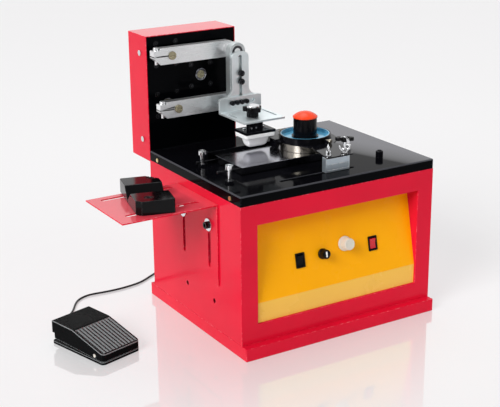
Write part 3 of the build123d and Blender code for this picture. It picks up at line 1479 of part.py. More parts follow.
for end, vee, bolt, cuts in (
    (-jig_front, -vee_front, jig_bolt_at[0], jig_front_cuts),
    (jig_back, vee_back, jig_bolt_at[1], jig_back_cuts),
):
    start = jig_gap / 2 if end > 0 else -jig_gap / 2
    with BuildPart() as jig:
        with BuildSketch(jig_side):
            with BuildLine():
                Polyline((end, 0), (start, 0), (start, vee_h), (vee, jig_h), (end, jig_h),
                         close=True)
            make_face()
        extrude(amount=jig_half, both=True)
        for side, cut in zip((0, -1), cuts):
            ends = jig.faces().sort_by(Axis(jig_plane.origin, jig_plane.y_dir))
            corners = ends[0 if end < 0 else -1].edges().filter_by(Axis.Z)
            chamfer(corners.sort_by(Axis(jig_plane.origin, jig_plane.x_dir))[side], cut)
        with BuildSketch(jig_plane):
            with Locations(bolt):
                Circle(bolt_r + seat_gap)
        extrude(amount=jig_h, mode=Mode.SUBTRACT)
        with BuildSketch(jig_plane.offset(jig_h)):
            with Locations(bolt):
                Circle(counter_r)
        extrude(amount=-counter_h, mode=Mode.SUBTRACT)
    jig_blocks.append(jig)

jig_nut_h = 4.0
with BuildPart() as jig_bolts:
    for bolt in jig_bolt_at:
        with BuildSketch(jig_plane.offset(jig_h - counter_h)):
            with Locations(bolt):
                Circle(counter_r - gap)
        extrude(amount=counter_h - gap)
        with BuildSketch(jig_plane.offset(jig_h - gap)):
            with Locations(bolt):
                RegularPolygon(clamp_socket / 2, 6, major_radius=False)
        extrude(amount=-counter_h / 2, mode=Mode.SUBTRACT)
        with BuildSketch(jig_plane.offset(jig_h - counter_h)):
            with Locations(bolt):
                Circle(bolt_r)
        extrude(amount=-(jig_h - counter_h + shelf_t + 2 * gap + jig_nut_h))
        with BuildSketch(jig_plane.offset(-(shelf_t + 2 * gap))):
            with Locations(bolt):
                RegularPolygon(shelf_head_r, 6)
        extrude(amount=-jig_nut_h)
export_group("jig_blocks", *jig_blocks, jig_bolts)

# Foot pedal: a thin base on the floor and a hollow wedge cover that tips on a front pin
pedal_at = (-327.5, -46.7)
pedal_turn = 15.4
pedal_w = 66.7
pedal_len = 110.0
pedal_base_h = 4.0
pedal_corner = 6.0
cover_end = 2.0
cover_wall = 2.4
cover_low = 4.4
cover_front_h = 15.4
cover_break = 63.3
cover_break_h = 33.3
cover_back_h = 34.5
notch_in = 4.5
notch_h = 16.5
skirt_back_z = 9.0
pedal_pin_v = 17.0
pedal_pin_z = 10.0
pedal_pin_r = 2.2
pedal_across = Vector(cos(radians(pedal_turn)), sin(radians(pedal_turn)), 0)
pedal_plane = Plane(origin=(pedal_at[0], pedal_at[1], 0), x_dir=pedal_across, z_dir=(0, 0, 1))
pedal_side = Plane(origin=pedal_plane.origin, x_dir=pedal_plane.y_dir, z_dir=pedal_across)
cheek_t = 4.0
cheek_half = 7.0
cheek_in = cover_wall + gap
cover_len = pedal_len - cover_end
with BuildPart() as pedal_base:
    with BuildSketch(pedal_plane):
        with Locations((pedal_w / 2, pedal_len / 2)):
            RectangleRounded(pedal_w, pedal_len, pedal_corner)
    extrude(amount=pedal_base_h)
    for start in (cheek_in, pedal_w - cheek_in - cheek_t):
        with BuildSketch(pedal_side.offset(start)):
            with BuildLine():
                Polyline(
                    (pedal_pin_v - cheek_half, pedal_base_h),
                    (pedal_pin_v + cheek_half, pedal_base_h),
                    (pedal_pin_v + cheek_half / 2, pedal_pin_z + 2 * pedal_pin_r),
                    (pedal_pin_v - cheek_half / 2, pedal_pin_z + 2 * pedal_pin_r),
                    close=True,
                )
            make_face()
        extrude(amount=cheek_t)
    with BuildSketch(pedal_side.offset(cheek_in)):
        with Locations((pedal_pin_v, pedal_pin_z)):
            Circle(pedal_pin_r + seat_gap)
    extrude(amount=pedal_w - 2 * cheek_in, mode=Mode.SUBTRACT)
pedal_base.part.label = "pedal_base"
export_step(pedal_base.part, "parts/pedal_base.step")

with BuildPart() as pedal_pin:
    with BuildSketch(pedal_side.offset(-2 * gap)):
        with Locations((pedal_pin_v, pedal_pin_z)):
            Circle(pedal_pin_r)
    extrude(amount=pedal_w + 4 * gap)

rib_count = 11
rib_edge = 4.0
rib_gap = 3.2
rib_deep = 1.5
slope_run = hypot(cover_break, cover_break_h - cover_front_h)
slope_rise = (cover_break_h - cover_front_h) / slope_run
slope_flat = cover_break / slope_run
slope_dir = pedal_plane.y_dir * slope_flat + Vector(0, 0, slope_rise)
slope_origin = pedal_plane.origin + Vector(0, 0, cover_front_h)
slope_plane = Plane(origin=slope_origin, x_dir=pedal_across, z_dir=pedal_across.cross(slope_dir))
with BuildPart() as pedal_cover:
    with BuildSketch(pedal_side):
        with BuildLine():
            Polyline(
                (0, cover_low),
                (0, cover_front_h),
                (cover_break, cover_break_h),
                (cover_len, cover_back_h),
                (cover_len, notch_h),
                (cover_len - notch_in, notch_h),
                (cover_len - notch_in, skirt_back_z),
                close=True,
            )
        make_face()
    extrude(amount=pedal_w)
    front_edges = pedal_cover.edges().filter_by(Axis.Z).sort_by(
        Axis(pedal_plane.origin, pedal_plane.y_dir))[:2]
    fillet(front_edges, pedal_corner)
    with BuildSketch(pedal_side.offset(cover_wall)):
        with BuildLine():
            Polyline(
                (cover_wall, 0),
                (cover_wall, cover_front_h - cover_wall),
                (cover_break, cover_break_h - cover_wall - rib_deep),
                (cover_len - notch_in - cover_wall, cover_back_h - cover_wall),
                (cover_len - notch_in - cover_wall, 0),
                close=True,
            )
        make_face()
    extrude(amount=pedal_w - 2 * cover_wall, mode=Mode.SUBTRACT)
    rib_pitch = (pedal_w - 2 * rib_edge - rib_gap) / (rib_count - 1)
    with BuildSketch(slope_plane):
        for rib in range(rib_count):
            with Locations((rib_edge + rib_gap / 2 + rib * rib_pitch, slope_run / 2)):
                Rectangle(rib_gap, slope_run - 2 * rib_edge)
    extrude(amount=-rib_deep, mode=Mode.SUBTRACT)
    with BuildSketch(pedal_side):
        with Locations((pedal_pin_v, pedal_pin_z)):
            Circle(pedal_pin_r + run_gap)
    extrude(amount=cover_wall, mode=Mode.SUBTRACT)
    with BuildSketch(pedal_side.offset(pedal_w - cover_wall)):
        with Locations((pedal_pin_v, pedal_pin_z)):
            Circle(pedal_pin_r + run_gap)
    extrude(amount=cover_wall, mode=Mode.SUBTRACT)
pedal_cover.part.label = "pedal_cover"
export_step(pedal_cover.part, "parts/pedal_cover.step")

micro_w = 20.0
micro_d = 7.0
micro_h = 20.5
micro_v = 82.0
with BuildPart() as pedal_microswitch:
    with BuildSketch(pedal_plane.offset(pedal_base_h)):
        with Locations((pedal_w / 2, micro_v)):
            Rectangle(micro_d, micro_w)
    extrude(amount=micro_h)
    with BuildSketch(pedal_plane.offset(pedal_base_h + micro_h)):
        with Locations((pedal_w / 2, micro_v)):
            Rectangle(micro_d / 2, micro_d / 2)
    extrude(amount=pedal_pin_r)
export_group("pedal_fittings", pedal_pin, pedal_microswitch)

# Cord glands: one at the pedal's back edge, one through the cabinet's back wall
cord_r = 1.5
pedal_gland_r = 2.7
pedal_gland_len = 8.0
gland_nose_r = 3.6
gland_len = 13.0
gland_flange_r = 7.5
gland_flange_t = 4.0
gland_nut_t = 4.0
pedal_back = pedal_plane.y_dir
pedal_rear = pedal_plane.origin + pedal_across * (pedal_w / 2) + pedal_back * pedal_len
pedal_exit = pedal_rear + Vector(0, 0, pedal_gland_r + gap / 2)
with BuildPart() as pedal_gland:
    with BuildSketch(Plane(pedal_exit, z_dir=pedal_back)):
        Circle(pedal_gland_r)
    extrude(amount=pedal_gland_len)

with BuildPart() as cabinet_gland:
    rod_y(gland_x, gland_z, gland_r - seat_gap, back_y - sheet - gland_nut_t, back_y)
    rod_y(gland_x, gland_z, gland_flange_r, back_y - sheet - gland_nut_t, back_y - sheet)
    rod_y(gland_x, gland_z, gland_flange_r, back_y, back_y + gland_flange_t)
    rod_y(gland_x, gland_z, gland_nose_r, back_y + gland_flange_t, back_y + gland_len)
export_group("cord_glands", pedal_gland, cabinet_gland)

# Pedal cord: points of its route on the floor, from the pedal to the coil behind the cabinet
floor_gap = 0.1
floor_z = cord_r + floor_gap
cord_first_run = 17.0
cord_last_run = 23.0
coil_at = (-80.0, 190.5)
coil_out = 24.3
coil_pitch = 3.9
coil_turns = 4
coil_rise = 4.0
cord_floor_points = (
    (-322.0, 110.0),
    (-306.0, 124.0),
    (-290.8, 138.4),
    (-273.8, 167.3),
    (-261.0, 178.3),
    (-244.7, 183.8),
    (-222.5, 180.7),
    (-199.7, 179.1),
    (-174.6, 181.5),
    (-153.8, 186.4),
    (-127.0, 203.0),
)
cord_start = pedal_exit + pedal_back * pedal_gland_len
cord_points = [tuple(cord_start), tuple(cord_start + pedal_back * cord_first_run)]
cord_points.extend((x, y, floor_z) for x, y in cord_floor_points)
coil_start_x = coil_at[0] - 2 * cord_r
cord_points.append((coil_start_x - cord_last_run, coil_at[1] + coil_out, floor_z))
cord_points.append((coil_start_x, coil_at[1] + coil_out, floor_z))
corner_share = 0.45


def bend_radii(points):
    """Radius of each corner: a share of the shorter run over the tangent of half the turn."""
    radii = []
    for before, here, after in zip(points, points[1:], points[2:]):
        run_in = Vector(here) - Vector(before)
        run_out = Vector(after) - Vector(here)
        turn = radians(run_in.get_angle(run_out))
        radii.append(corner_share * min(run_in.length, run_out.length) / tan(turn / 2))
    return radii


def unit(start, end):
    """Direction from one point to another."""
    return (Vector(end) - Vector(start)).normalized()


with BuildPart() as pedal_cord:
    with BuildLine() as cord_line:
        FilletPolyline(*cord_points, radius=bend_radii(cord_points))
    with BuildSketch(Plane(cord_points[0], z_dir=unit(cord_points[0], cord_points[1]))):
        Circle(cord_r)
    sweep()

# Coil: spirals in on the floor, climbs a layer in the inmost half turn and spirals out again
gap_steps = 12
half_turns = []
for k in range(2 * coil_turns + 1):
    half_turns.append((coil_out - k * coil_pitch / 2, floor_z))
inner = half_turns[-1][0]
for k in range(2 * coil_turns):
    half_turns.append((inner + k * coil_pitch / 2, floor_z + coil_rise))


def coil_point(index):
    """End of a half turn, behind or in front of the coil's middle by turns."""
    reach, height = half_turns[index]
    side = 1 if index % 2 == 0 else -1
    return Vector(coil_at[0], coil_at[1] + side * reach, height), Vector(side, 0, 0)


def least_gap(edges, reach):
    """Least distance between a path's middle line and itself further along, less its thickness."""
    points = []
    along = 0
    for edge in edges:
        for step in range(gap_steps):
            points.append((along + edge.length * step / gap_steps, edge @ (step / gap_steps)))
        along += edge.length
    least = along
    for first, (at, point) in enumerate(points):
        for other_at, other in points[first + 1:]:
            if other_at - at > reach:
                least = min(least, (point - other).length)
    return least - 2 * cord_r


coil_last = len(half_turns) - 1
with BuildPart() as cord_coil:
    with BuildLine() as coil_line:
        first, heading = coil_point(0)
        Line(first - heading * 2 * cord_r, first)
        for index in range(coil_last):
            start, leave = coil_point(index)
            end = coil_point(index + 1)[0]
            far = (start + end) / 2 + leave * ((end - start).length / 2)
            quarter_arc = TangentArc(start, far, tangent=leave)
            TangentArc(far, end, tangent=quarter_arc % 1)
        last, heading = coil_point(coil_last)
        Line(last, last + heading * 2 * cord_r)
    with BuildSketch(Plane(first - Vector(2 * cord_r, 0, 0), z_dir=(1, 0, 0))):
        Circle(cord_r)
    sweep()
cord_coil.part.label = "cord_coil"
export_step(cord_coil.part, "parts/cord_coil.step")

# Tail of the cord: from the coil round to the gland in the cabinet's back wall
tail_first_run = 14.0
tail_points = [tuple(last + heading * 2 * cord_r)]
tail_points.append(tuple(last + heading * (2 * cord_r + tail_first_run)))
tail_points.extend(((-44.0, 207.6, 9.0), (-39.5, 190.0, 15.0), (-37.0, 170.0, 25.0)))
tail_points.extend(((gland_x, 155.0, gland_z), (gland_x, back_y + gland_len, gland_z)))
with BuildPart() as cord_tail:
    with BuildLine() as tail_line:
        FilletPolyline(*tail_points, radius=bend_radii(tail_points))
    with BuildSketch(Plane(tail_points[0], z_dir=unit(tail_points[0], tail_points[1]))):
        Circle(cord_r)
    sweep()
export_group("pedal_cord", pedal_cord, cord_tail)

cord_section = pi * cord_r ** 2
for label, piece, line in (
    ("pedal cord", pedal_cord, cord_line),
    ("coil", cord_coil, coil_line),
    ("tail", cord_tail, tail_line),
):
    length = sum(edge.length for edge in line.edges())
    print(label, "length", round(length, 1), "volume share", piece.part.volume / cord_section / length)
print("cord bend radii", [round(radius, 1) for radius in bend_radii(cord_points)])
print("tail bend radii", [round(radius, 1) for radius in bend_radii(tail_points)])
print("least gap in the coil", round(least_gap(coil_line.edges(), 4 * coil_pitch), 2))

# Electrics on the plinth's floor and in the back wall
board_x = (0.0, 120.0)
board_y = (-45.0, 45.0)
board_t = 1.6
standoff_h = 8.0
standoff_r = 3.0
standoff_in = 6.0
chip_h = 9.0
chip_shares = (0.2, 0.5, 0.8)
with BuildPart() as controller_board:
    board_low = sheet + standoff_h
    brick(board_x, board_y, (board_low, board_low + board_t))
    for share in chip_shares:
        at = board_x[0] + share * (board_x[1] - board_x[0])
        brick((at - chip_h, at + chip_h), (board_y[0] + chip_h, board_y[1] - 4 * chip_h),
              (board_low + board_t, board_low + board_t + chip_h))

with BuildPart() as board_standoffs:
    for x in (board_x[0] + standoff_in, board_x[1] - standoff_in):
        for y in (board_y[0] + standoff_in, board_y[1] - standoff_in):
            rod_z(x, y, standoff_r, sheet, sheet + standoff_h)

core_x = (-110.0, -50.0)
core_y = (-20.0, 20.0)
core_h = 50.0
winding_out = 9.0
winding_edge = 10.0
with BuildPart() as transformer:
    brick(core_x, core_y, (sheet, sheet + core_h))
    brick((core_x[0] + winding_edge, core_x[1] - winding_edge),
          (core_y[0] - winding_out, core_y[1] + winding_out),
          (sheet + winding_edge, sheet + core_h - winding_edge))
export_group("electrics", controller_board, board_standoffs, transformer, potentiometers)

inlet_lip = 4.0
inlet_lip_t = 2.5
inlet_deep = 20.0
inlet_wall = 3.0
inlet_pin = (2.0, 4.0)
inlet_pin_x = (-7.0, 0.0, 7.0)
inlet_mouth = inlet_deep - inlet_wall
with BuildPart() as power_inlet:
    brick((inlet_x - inlet_w / 2 - inlet_lip, inlet_x + inlet_w / 2 + inlet_lip),
          (back_y, back_y + inlet_lip_t),
          (inlet_z - inlet_h / 2 - inlet_lip / 2, inlet_z + inlet_h / 2 + inlet_lip / 2))
    brick((inlet_x - inlet_w / 2 + seat_gap, inlet_x + inlet_w / 2 - seat_gap),
          (back_y - inlet_deep, back_y),
          (inlet_z - inlet_h / 2 + seat_gap, inlet_z + inlet_h / 2 - seat_gap))
    brick((inlet_x - inlet_w / 4, inlet_x + inlet_w / 4),
          (back_y - inlet_mouth, back_y + inlet_lip_t),
          (inlet_z - inlet_h / 2 + inlet_wall, inlet_z + inlet_h / 2 - inlet_wall),
          mode=Mode.SUBTRACT)

with BuildPart() as inlet_pins:
    for offset_x in inlet_pin_x:
        lift = inlet_pin[1] if offset_x == 0 else 0
        brick((inlet_x + offset_x - inlet_pin[0] / 2, inlet_x + offset_x + inlet_pin[0] / 2),
              (back_y - inlet_mouth, back_y - inlet_wall),
              (inlet_z - inlet_pin[1] / 2 + lift, inlet_z + inlet_pin[1] / 2 + lift))

fuse_cap_r = 8.0
fuse_cap_h = 7.0
fuse_in = 22.0
with BuildPart() as fuse_holder:
    rod_y(fuse_x, inlet_z, fuse_r - seat_gap, back_y - fuse_in, back_y)
    rod_y(fuse_x, inlet_z, fuse_cap_r, back_y, back_y + fuse_cap_h)
export_group("power_inlet", power_inlet, inlet_pins, fuse_holder)
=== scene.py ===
import json
import math

import bmesh
import bpy
from mathutils import Matrix, Vector

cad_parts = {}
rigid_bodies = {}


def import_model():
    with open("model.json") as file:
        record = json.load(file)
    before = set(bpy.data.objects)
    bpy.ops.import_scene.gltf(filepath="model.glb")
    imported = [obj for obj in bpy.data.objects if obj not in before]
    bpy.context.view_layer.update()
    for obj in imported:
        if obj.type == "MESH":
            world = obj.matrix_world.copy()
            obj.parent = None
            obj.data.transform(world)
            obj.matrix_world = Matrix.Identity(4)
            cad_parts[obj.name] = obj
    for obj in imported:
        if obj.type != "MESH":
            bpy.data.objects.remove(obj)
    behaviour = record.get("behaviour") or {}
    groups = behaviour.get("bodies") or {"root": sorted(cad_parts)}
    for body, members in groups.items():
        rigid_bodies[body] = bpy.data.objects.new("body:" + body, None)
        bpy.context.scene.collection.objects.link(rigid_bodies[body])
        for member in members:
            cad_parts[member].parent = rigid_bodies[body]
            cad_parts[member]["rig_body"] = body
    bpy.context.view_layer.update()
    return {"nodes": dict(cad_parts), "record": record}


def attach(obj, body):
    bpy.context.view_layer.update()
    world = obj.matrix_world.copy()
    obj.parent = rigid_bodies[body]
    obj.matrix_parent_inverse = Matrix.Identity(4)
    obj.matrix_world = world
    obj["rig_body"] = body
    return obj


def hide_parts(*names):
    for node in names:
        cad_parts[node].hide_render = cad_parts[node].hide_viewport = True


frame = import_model()
MM = 0.001
WHITE = (0.9, 0.893, 0.9, 1)
PEDAL_TURN = 15.4  # degrees

# ---------------------------------------------------------------- camera
CAMERA_LENS, CAMERA_SENSOR = 85.4387, 36
CAMERA_AT = (-0.90007637, -1.37250312, 0.71515735)
CAMERA_ANGLES = (-31.24532, 18.81068, -0.54486)  # turn, lift and roll in degrees
camera_data = bpy.data.cameras.new("camera")
camera_data.lens = CAMERA_LENS
camera_data.sensor_width = CAMERA_SENSOR
camera_data.sensor_fit = "HORIZONTAL"
camera = bpy.data.objects.new("camera", camera_data)
bpy.context.scene.collection.objects.link(camera)
turn, lift, roll = (math.radians(angle) for angle in CAMERA_ANGLES)
back = Vector((math.sin(turn) * math.cos(lift), -math.cos(turn) * math.cos(lift), math.sin(lift)))
right = (-back).cross(Vector((0, 0, 1))).normalized()
up = right.cross(-back)
across = right * math.cos(roll) + up * math.sin(roll)
upright = up * math.cos(roll) - right * math.sin(roll)
facing = Matrix((across, upright, back)).transposed().to_4x4()
camera.matrix_world = Matrix.Translation(CAMERA_AT) @ facing
bpy.context.scene.camera = camera
bpy.context.scene.view_settings.view_transform = "Standard"


# ---------------------------------------------------------------- materials
EDGE_WEAR_SCALE = 260  # noise that breaks up the rubbed edges
PEEL_FINE, PEEL_BROAD = 330, 28  # noise of a sprayed coat's two reliefs
FLAT, ALONG_X, ALONG_Z = (1, 1, 1), (1, 40, 40), (40, 40, 1)  # how a metal's grain runs


class Finish:
    """A material whose nodes are laid out by short calls."""

    def __init__(self, name):
        self.mat = bpy.data.materials.new(name)
        self.mat.use_nodes = True
        self.tree = self.mat.node_tree
        self.shader = self.tree.nodes["Principled BSDF"]
        self.coords = self.tree.nodes.new("ShaderNodeTexCoord")
        self.normal = None

    def link(self, out, into):
        self.tree.links.new(out, into)

    def place(self, scale):
        """Object coordinates in metres, stretched by three factors."""
        mapping = self.tree.nodes.new("ShaderNodeMapping")
        mapping.inputs["Scale"].default_value = scale
        self.link(self.coords.outputs["Object"], mapping.inputs["Vector"])
        return mapping.outputs["Vector"]

    def noise(self, scale, detail=3.0, rough=0.55, stretch=(1, 1, 1)):
        node = self.tree.nodes.new("ShaderNodeTexNoise")
        node.inputs["Scale"].default_value = scale
        node.inputs["Detail"].default_value = detail
        node.inputs["Roughness"].default_value = rough
        self.link(self.place(stretch), node.inputs["Vector"])
        return node.outputs["Fac"]

    def span(self, value, low, high, start=0.25, end=0.75):
        node = self.tree.nodes.new("ShaderNodeMapRange")
        node.inputs["From Min"].default_value = start
        node.inputs["From Max"].default_value = end
        node.inputs["To Min"].default_value = low
        node.inputs["To Max"].default_value = high
        self.link(value, node.inputs["Value"])
        return node.outputs["Result"]

    def combine(self, operation, first, second):
        """Two numbers joined by one sum."""
        node = self.tree.nodes.new("ShaderNodeMath")
        node.operation = operation
        self.link(first, node.inputs[0])
        self.link(second, node.inputs[1])
        return node.outputs[0]

    def vector(self, operation, first, fixed=(0, 0, 0)):
        """A vector joined with a fixed one."""
        node = self.tree.nodes.new("ShaderNodeVectorMath")
        node.operation = operation
        node.inputs[1].default_value = fixed
        self.link(first, node.inputs[0])
        return node.outputs["Value" if operation in ("LENGTH", "DOT_PRODUCT") else "Vector"]

    def mix(self, factor, first, second):
        node = self.tree.nodes.new("ShaderNodeMix")
        node.data_type = "RGBA"
        self.link(factor, node.inputs["Factor"])
        for socket, colour in ((node.inputs["A"], first), (node.inputs["B"], second)):
            if isinstance(colour, tuple):
                socket.default_value = colour + (1,)
            else:
                self.link(colour, socket)
        return node.outputs["Result"]

    def bump(self, height, depth, strength=1.0):
        """Add relief of a real depth in metres."""
        node = self.tree.nodes.new("ShaderNodeBump")
        node.inputs["Distance"].default_value = depth
        node.inputs["Strength"].default_value = strength
        self.link(height, node.inputs["Height"])
        if self.normal:
            self.link(self.normal, node.inputs["Normal"])
        self.normal = node.outputs["Normal"]

    def edge(self, low=0.35, high=0.75):
        """Where a bevelled edge is paler, as rubbed wear and as a painted highlight: the edge mark
        broken up by noise.
        """
        mark = self.tree.nodes.new("ShaderNodeAttribute")
        mark.attribute_name = "edge"
        edge_wear_and_highlight = self.span(self.noise(EDGE_WEAR_SCALE, 4), 0.0, 1.0, low, high)
        return self.combine("MULTIPLY", mark.outputs["Fac"], edge_wear_and_highlight)

    def finish(self, colour=None, rough=None, **sockets):
        if colour is not None:
            self.link(colour, self.shader.inputs["Base Color"])
        if rough is not None:
            self.link(rough, self.shader.inputs["Roughness"])
        if self.normal:
            self.link(self.normal, self.shader.inputs["Normal"])
            if sockets.get("Coat Weight"):
                self.link(self.normal, self.shader.inputs["Coat Normal"])
        for name, value in sockets.items():
            self.shader.inputs[name].default_value = value
        return self.mat


def shade(colour, factor):
    return tuple(min(1.0, c * factor) for c in colour)


def paint(name, colour, rough, edge_wear_and_highlight, peel=0.000010, spec=0.2, vary=0.08):
    """Sprayed enamel: faint cloudiness, orange peel, fine dust, and paler edges that are partly
    rubbed wear and partly a painted highlight.
    """
    f = Finish(name)
    cloud = f.mix(f.span(f.noise(9, 3), 0, 1), shade(colour, 1 - vary), shade(colour, 1 + vary))
    speck = f.mix(f.span(f.noise(900, 2), 0, 1, 0.70, 0.80), cloud, shade(colour, 1.35))
    body = f.mix(f.edge(0.50, 0.72), speck, edge_wear_and_highlight)
    f.bump(f.noise(PEEL_FINE, 2, 0.4), peel)
    f.bump(f.noise(PEEL_BROAD, 2, 0.4), peel * 3)
    smudge = f.span(f.noise(14, 5, 0.62), rough * 0.75, rough * 1.4)
    return f.finish(body, smudge, **{"Specular IOR Level": spec})


def brushed(name, colour, rough, stretch, metal=1.0, grain=0.000006, scale=60, vary=0.12, edge_wear_and_highlight=0.3):
    """Metal with a directional grain, soft tarnish clouds, and paler edges that are partly scuffs
    and partly a painted highlight.
    """
    f = Finish(name)
    line = f.noise(scale, 4, 0.6, stretch)
    tone = f.mix(f.span(line, 0, 1, 0.3, 0.7), shade(colour, 1 - vary),
                 shade(colour, 1 + vary * 0.6))
    cloud = f.mix(f.span(f.noise(16, 4), 0, 1, 0.35, 0.8), tone, shade(colour, 0.86))
    body = f.mix(f.edge(0.35, 0.65), cloud, shade(colour, 1 + edge_wear_and_highlight))
    f.bump(line, grain)
    f.bump(f.noise(1400, 2), grain * 0.5)
    rough_map = f.span(f.noise(scale * 0.7, 4, 0.6, stretch), rough * 0.75, rough * 1.35)
    return f.finish(body, rough_map, Metallic=metal)


def moulded(name, colour, rough, grain=0.00001, grain_scale=1500, spec=0.3, vary=0.12, **more):
    """Moulded plastic or rubber: fine skin texture, handling sheen, and pale edges that are partly
    scuffs and partly a painted highlight.
    """
    f = Finish(name)
    tone = f.mix(f.span(f.noise(40, 4), 0, 1), shade(colour, 1 - vary), shade(colour, 1 + vary))
    pale = tuple(min(1.0, c * 1.6 + 0.02) for c in colour)
    body = f.mix(f.edge(0.45, 0.75), tone, pale)
    f.bump(f.noise(grain_scale, 2), grain)
    f.bump(f.noise(90, 3), grain * 0.8)
    rough_map = f.span(f.noise(35, 5, 0.6), rough * 0.75, rough * 1.3)
    return f.finish(body, rough_map, **{"Specular IOR Level": spec, **more})


def lid_finish():
    """Glossy black with a painted reflection: paler and more reflective towards the lid's right
    back corner.
    """
    f = Finish("lid_enamel")
    # Towards its right back corner the lid is painted paler grey and its reflection level is
    # raised: a painted reflection of the bright backdrop.
    sheen_way, sheen_start, sheen_end = (0.94, 0.34, 0), 0.060, 0.118
    reach = f.vector("DOT_PRODUCT", f.coords.outputs["Object"], sheen_way)
    painted_sheen = f.span(reach, 0, 1, sheen_start, sheen_end)
    cloud = f.mix(f.span(f.noise(9, 3), 0, 1), (0.017, 0.017, 0.029), (0.022, 0.022, 0.035))
    tone = f.mix(painted_sheen, (0.0022, 0.0022, 0.0032), cloud)
    # The bevels are painted a uniform paler grey: a painted highlight along the lid's edges.
    body = f.mix(f.edge(-0.6, -0.3), tone, (0.055, 0.056, 0.064))
    f.bump(f.noise(PEEL_FINE, 2, 0.4), 0.000003)
    f.bump(f.noise(PEEL_BROAD, 2, 0.4), 0.000009)
    f.link(f.span(painted_sheen, 0.020, 0.75, 0, 1), f.shader.inputs["Specular IOR Level"])
    rough_map = f.span(f.noise(14, 5, 0.62), 0.06, 0.12)
    return f.finish(body, rough_map, **{"Specular Tint": (0.90, 0.88, 1.0, 1)})


def pedal_finish():
    """Black moulding with a painted highlight along its edges and a cross-hatched flat top."""
    f = Finish("pedal_cast")
    tone = f.mix(f.span(f.noise(40, 4), 0, 1), (0.0022, 0.0024, 0.0026), (0.0042, 0.0045, 0.0048))
    # The bevels are painted a uniform pale grey: a painted highlight along the pedal's edges.
    body = f.mix(f.edge(-0.8, -0.5), tone, (0.20, 0.21, 0.215))
    level = f.tree.nodes.new("ShaderNodeNewGeometry")
    facing = f.tree.nodes.new("ShaderNodeSeparateXYZ")
    f.link(level.outputs["True Normal"], facing.inputs[0])
    flat = f.span(facing.outputs["Z"], 0, 1, 0.982, 0.992)
    hatch_scale, hatch_depth = 150, 0.00035
    for turn in (PEDAL_TURN + 45, PEDAL_TURN - 45):
        mapping = f.tree.nodes.new("ShaderNodeMapping")
        mapping.inputs["Rotation"].default_value = (0, 0, math.radians(turn))
        f.link(f.coords.outputs["Object"], mapping.inputs["Vector"])
        wave = f.tree.nodes.new("ShaderNodeTexWave")
        wave.inputs["Scale"].default_value = hatch_scale
        f.link(mapping.outputs["Vector"], wave.inputs["Vector"])
        f.bump(f.combine("MULTIPLY", wave.outputs["Fac"], flat), hatch_depth)
    f.bump(f.noise(1100, 2), 0.000012)
    rough_map = f.span(f.noise(35, 5, 0.6), 0.20, 0.34)
    return f.finish(body, rough_map, **{"Specular IOR Level": 0.016})


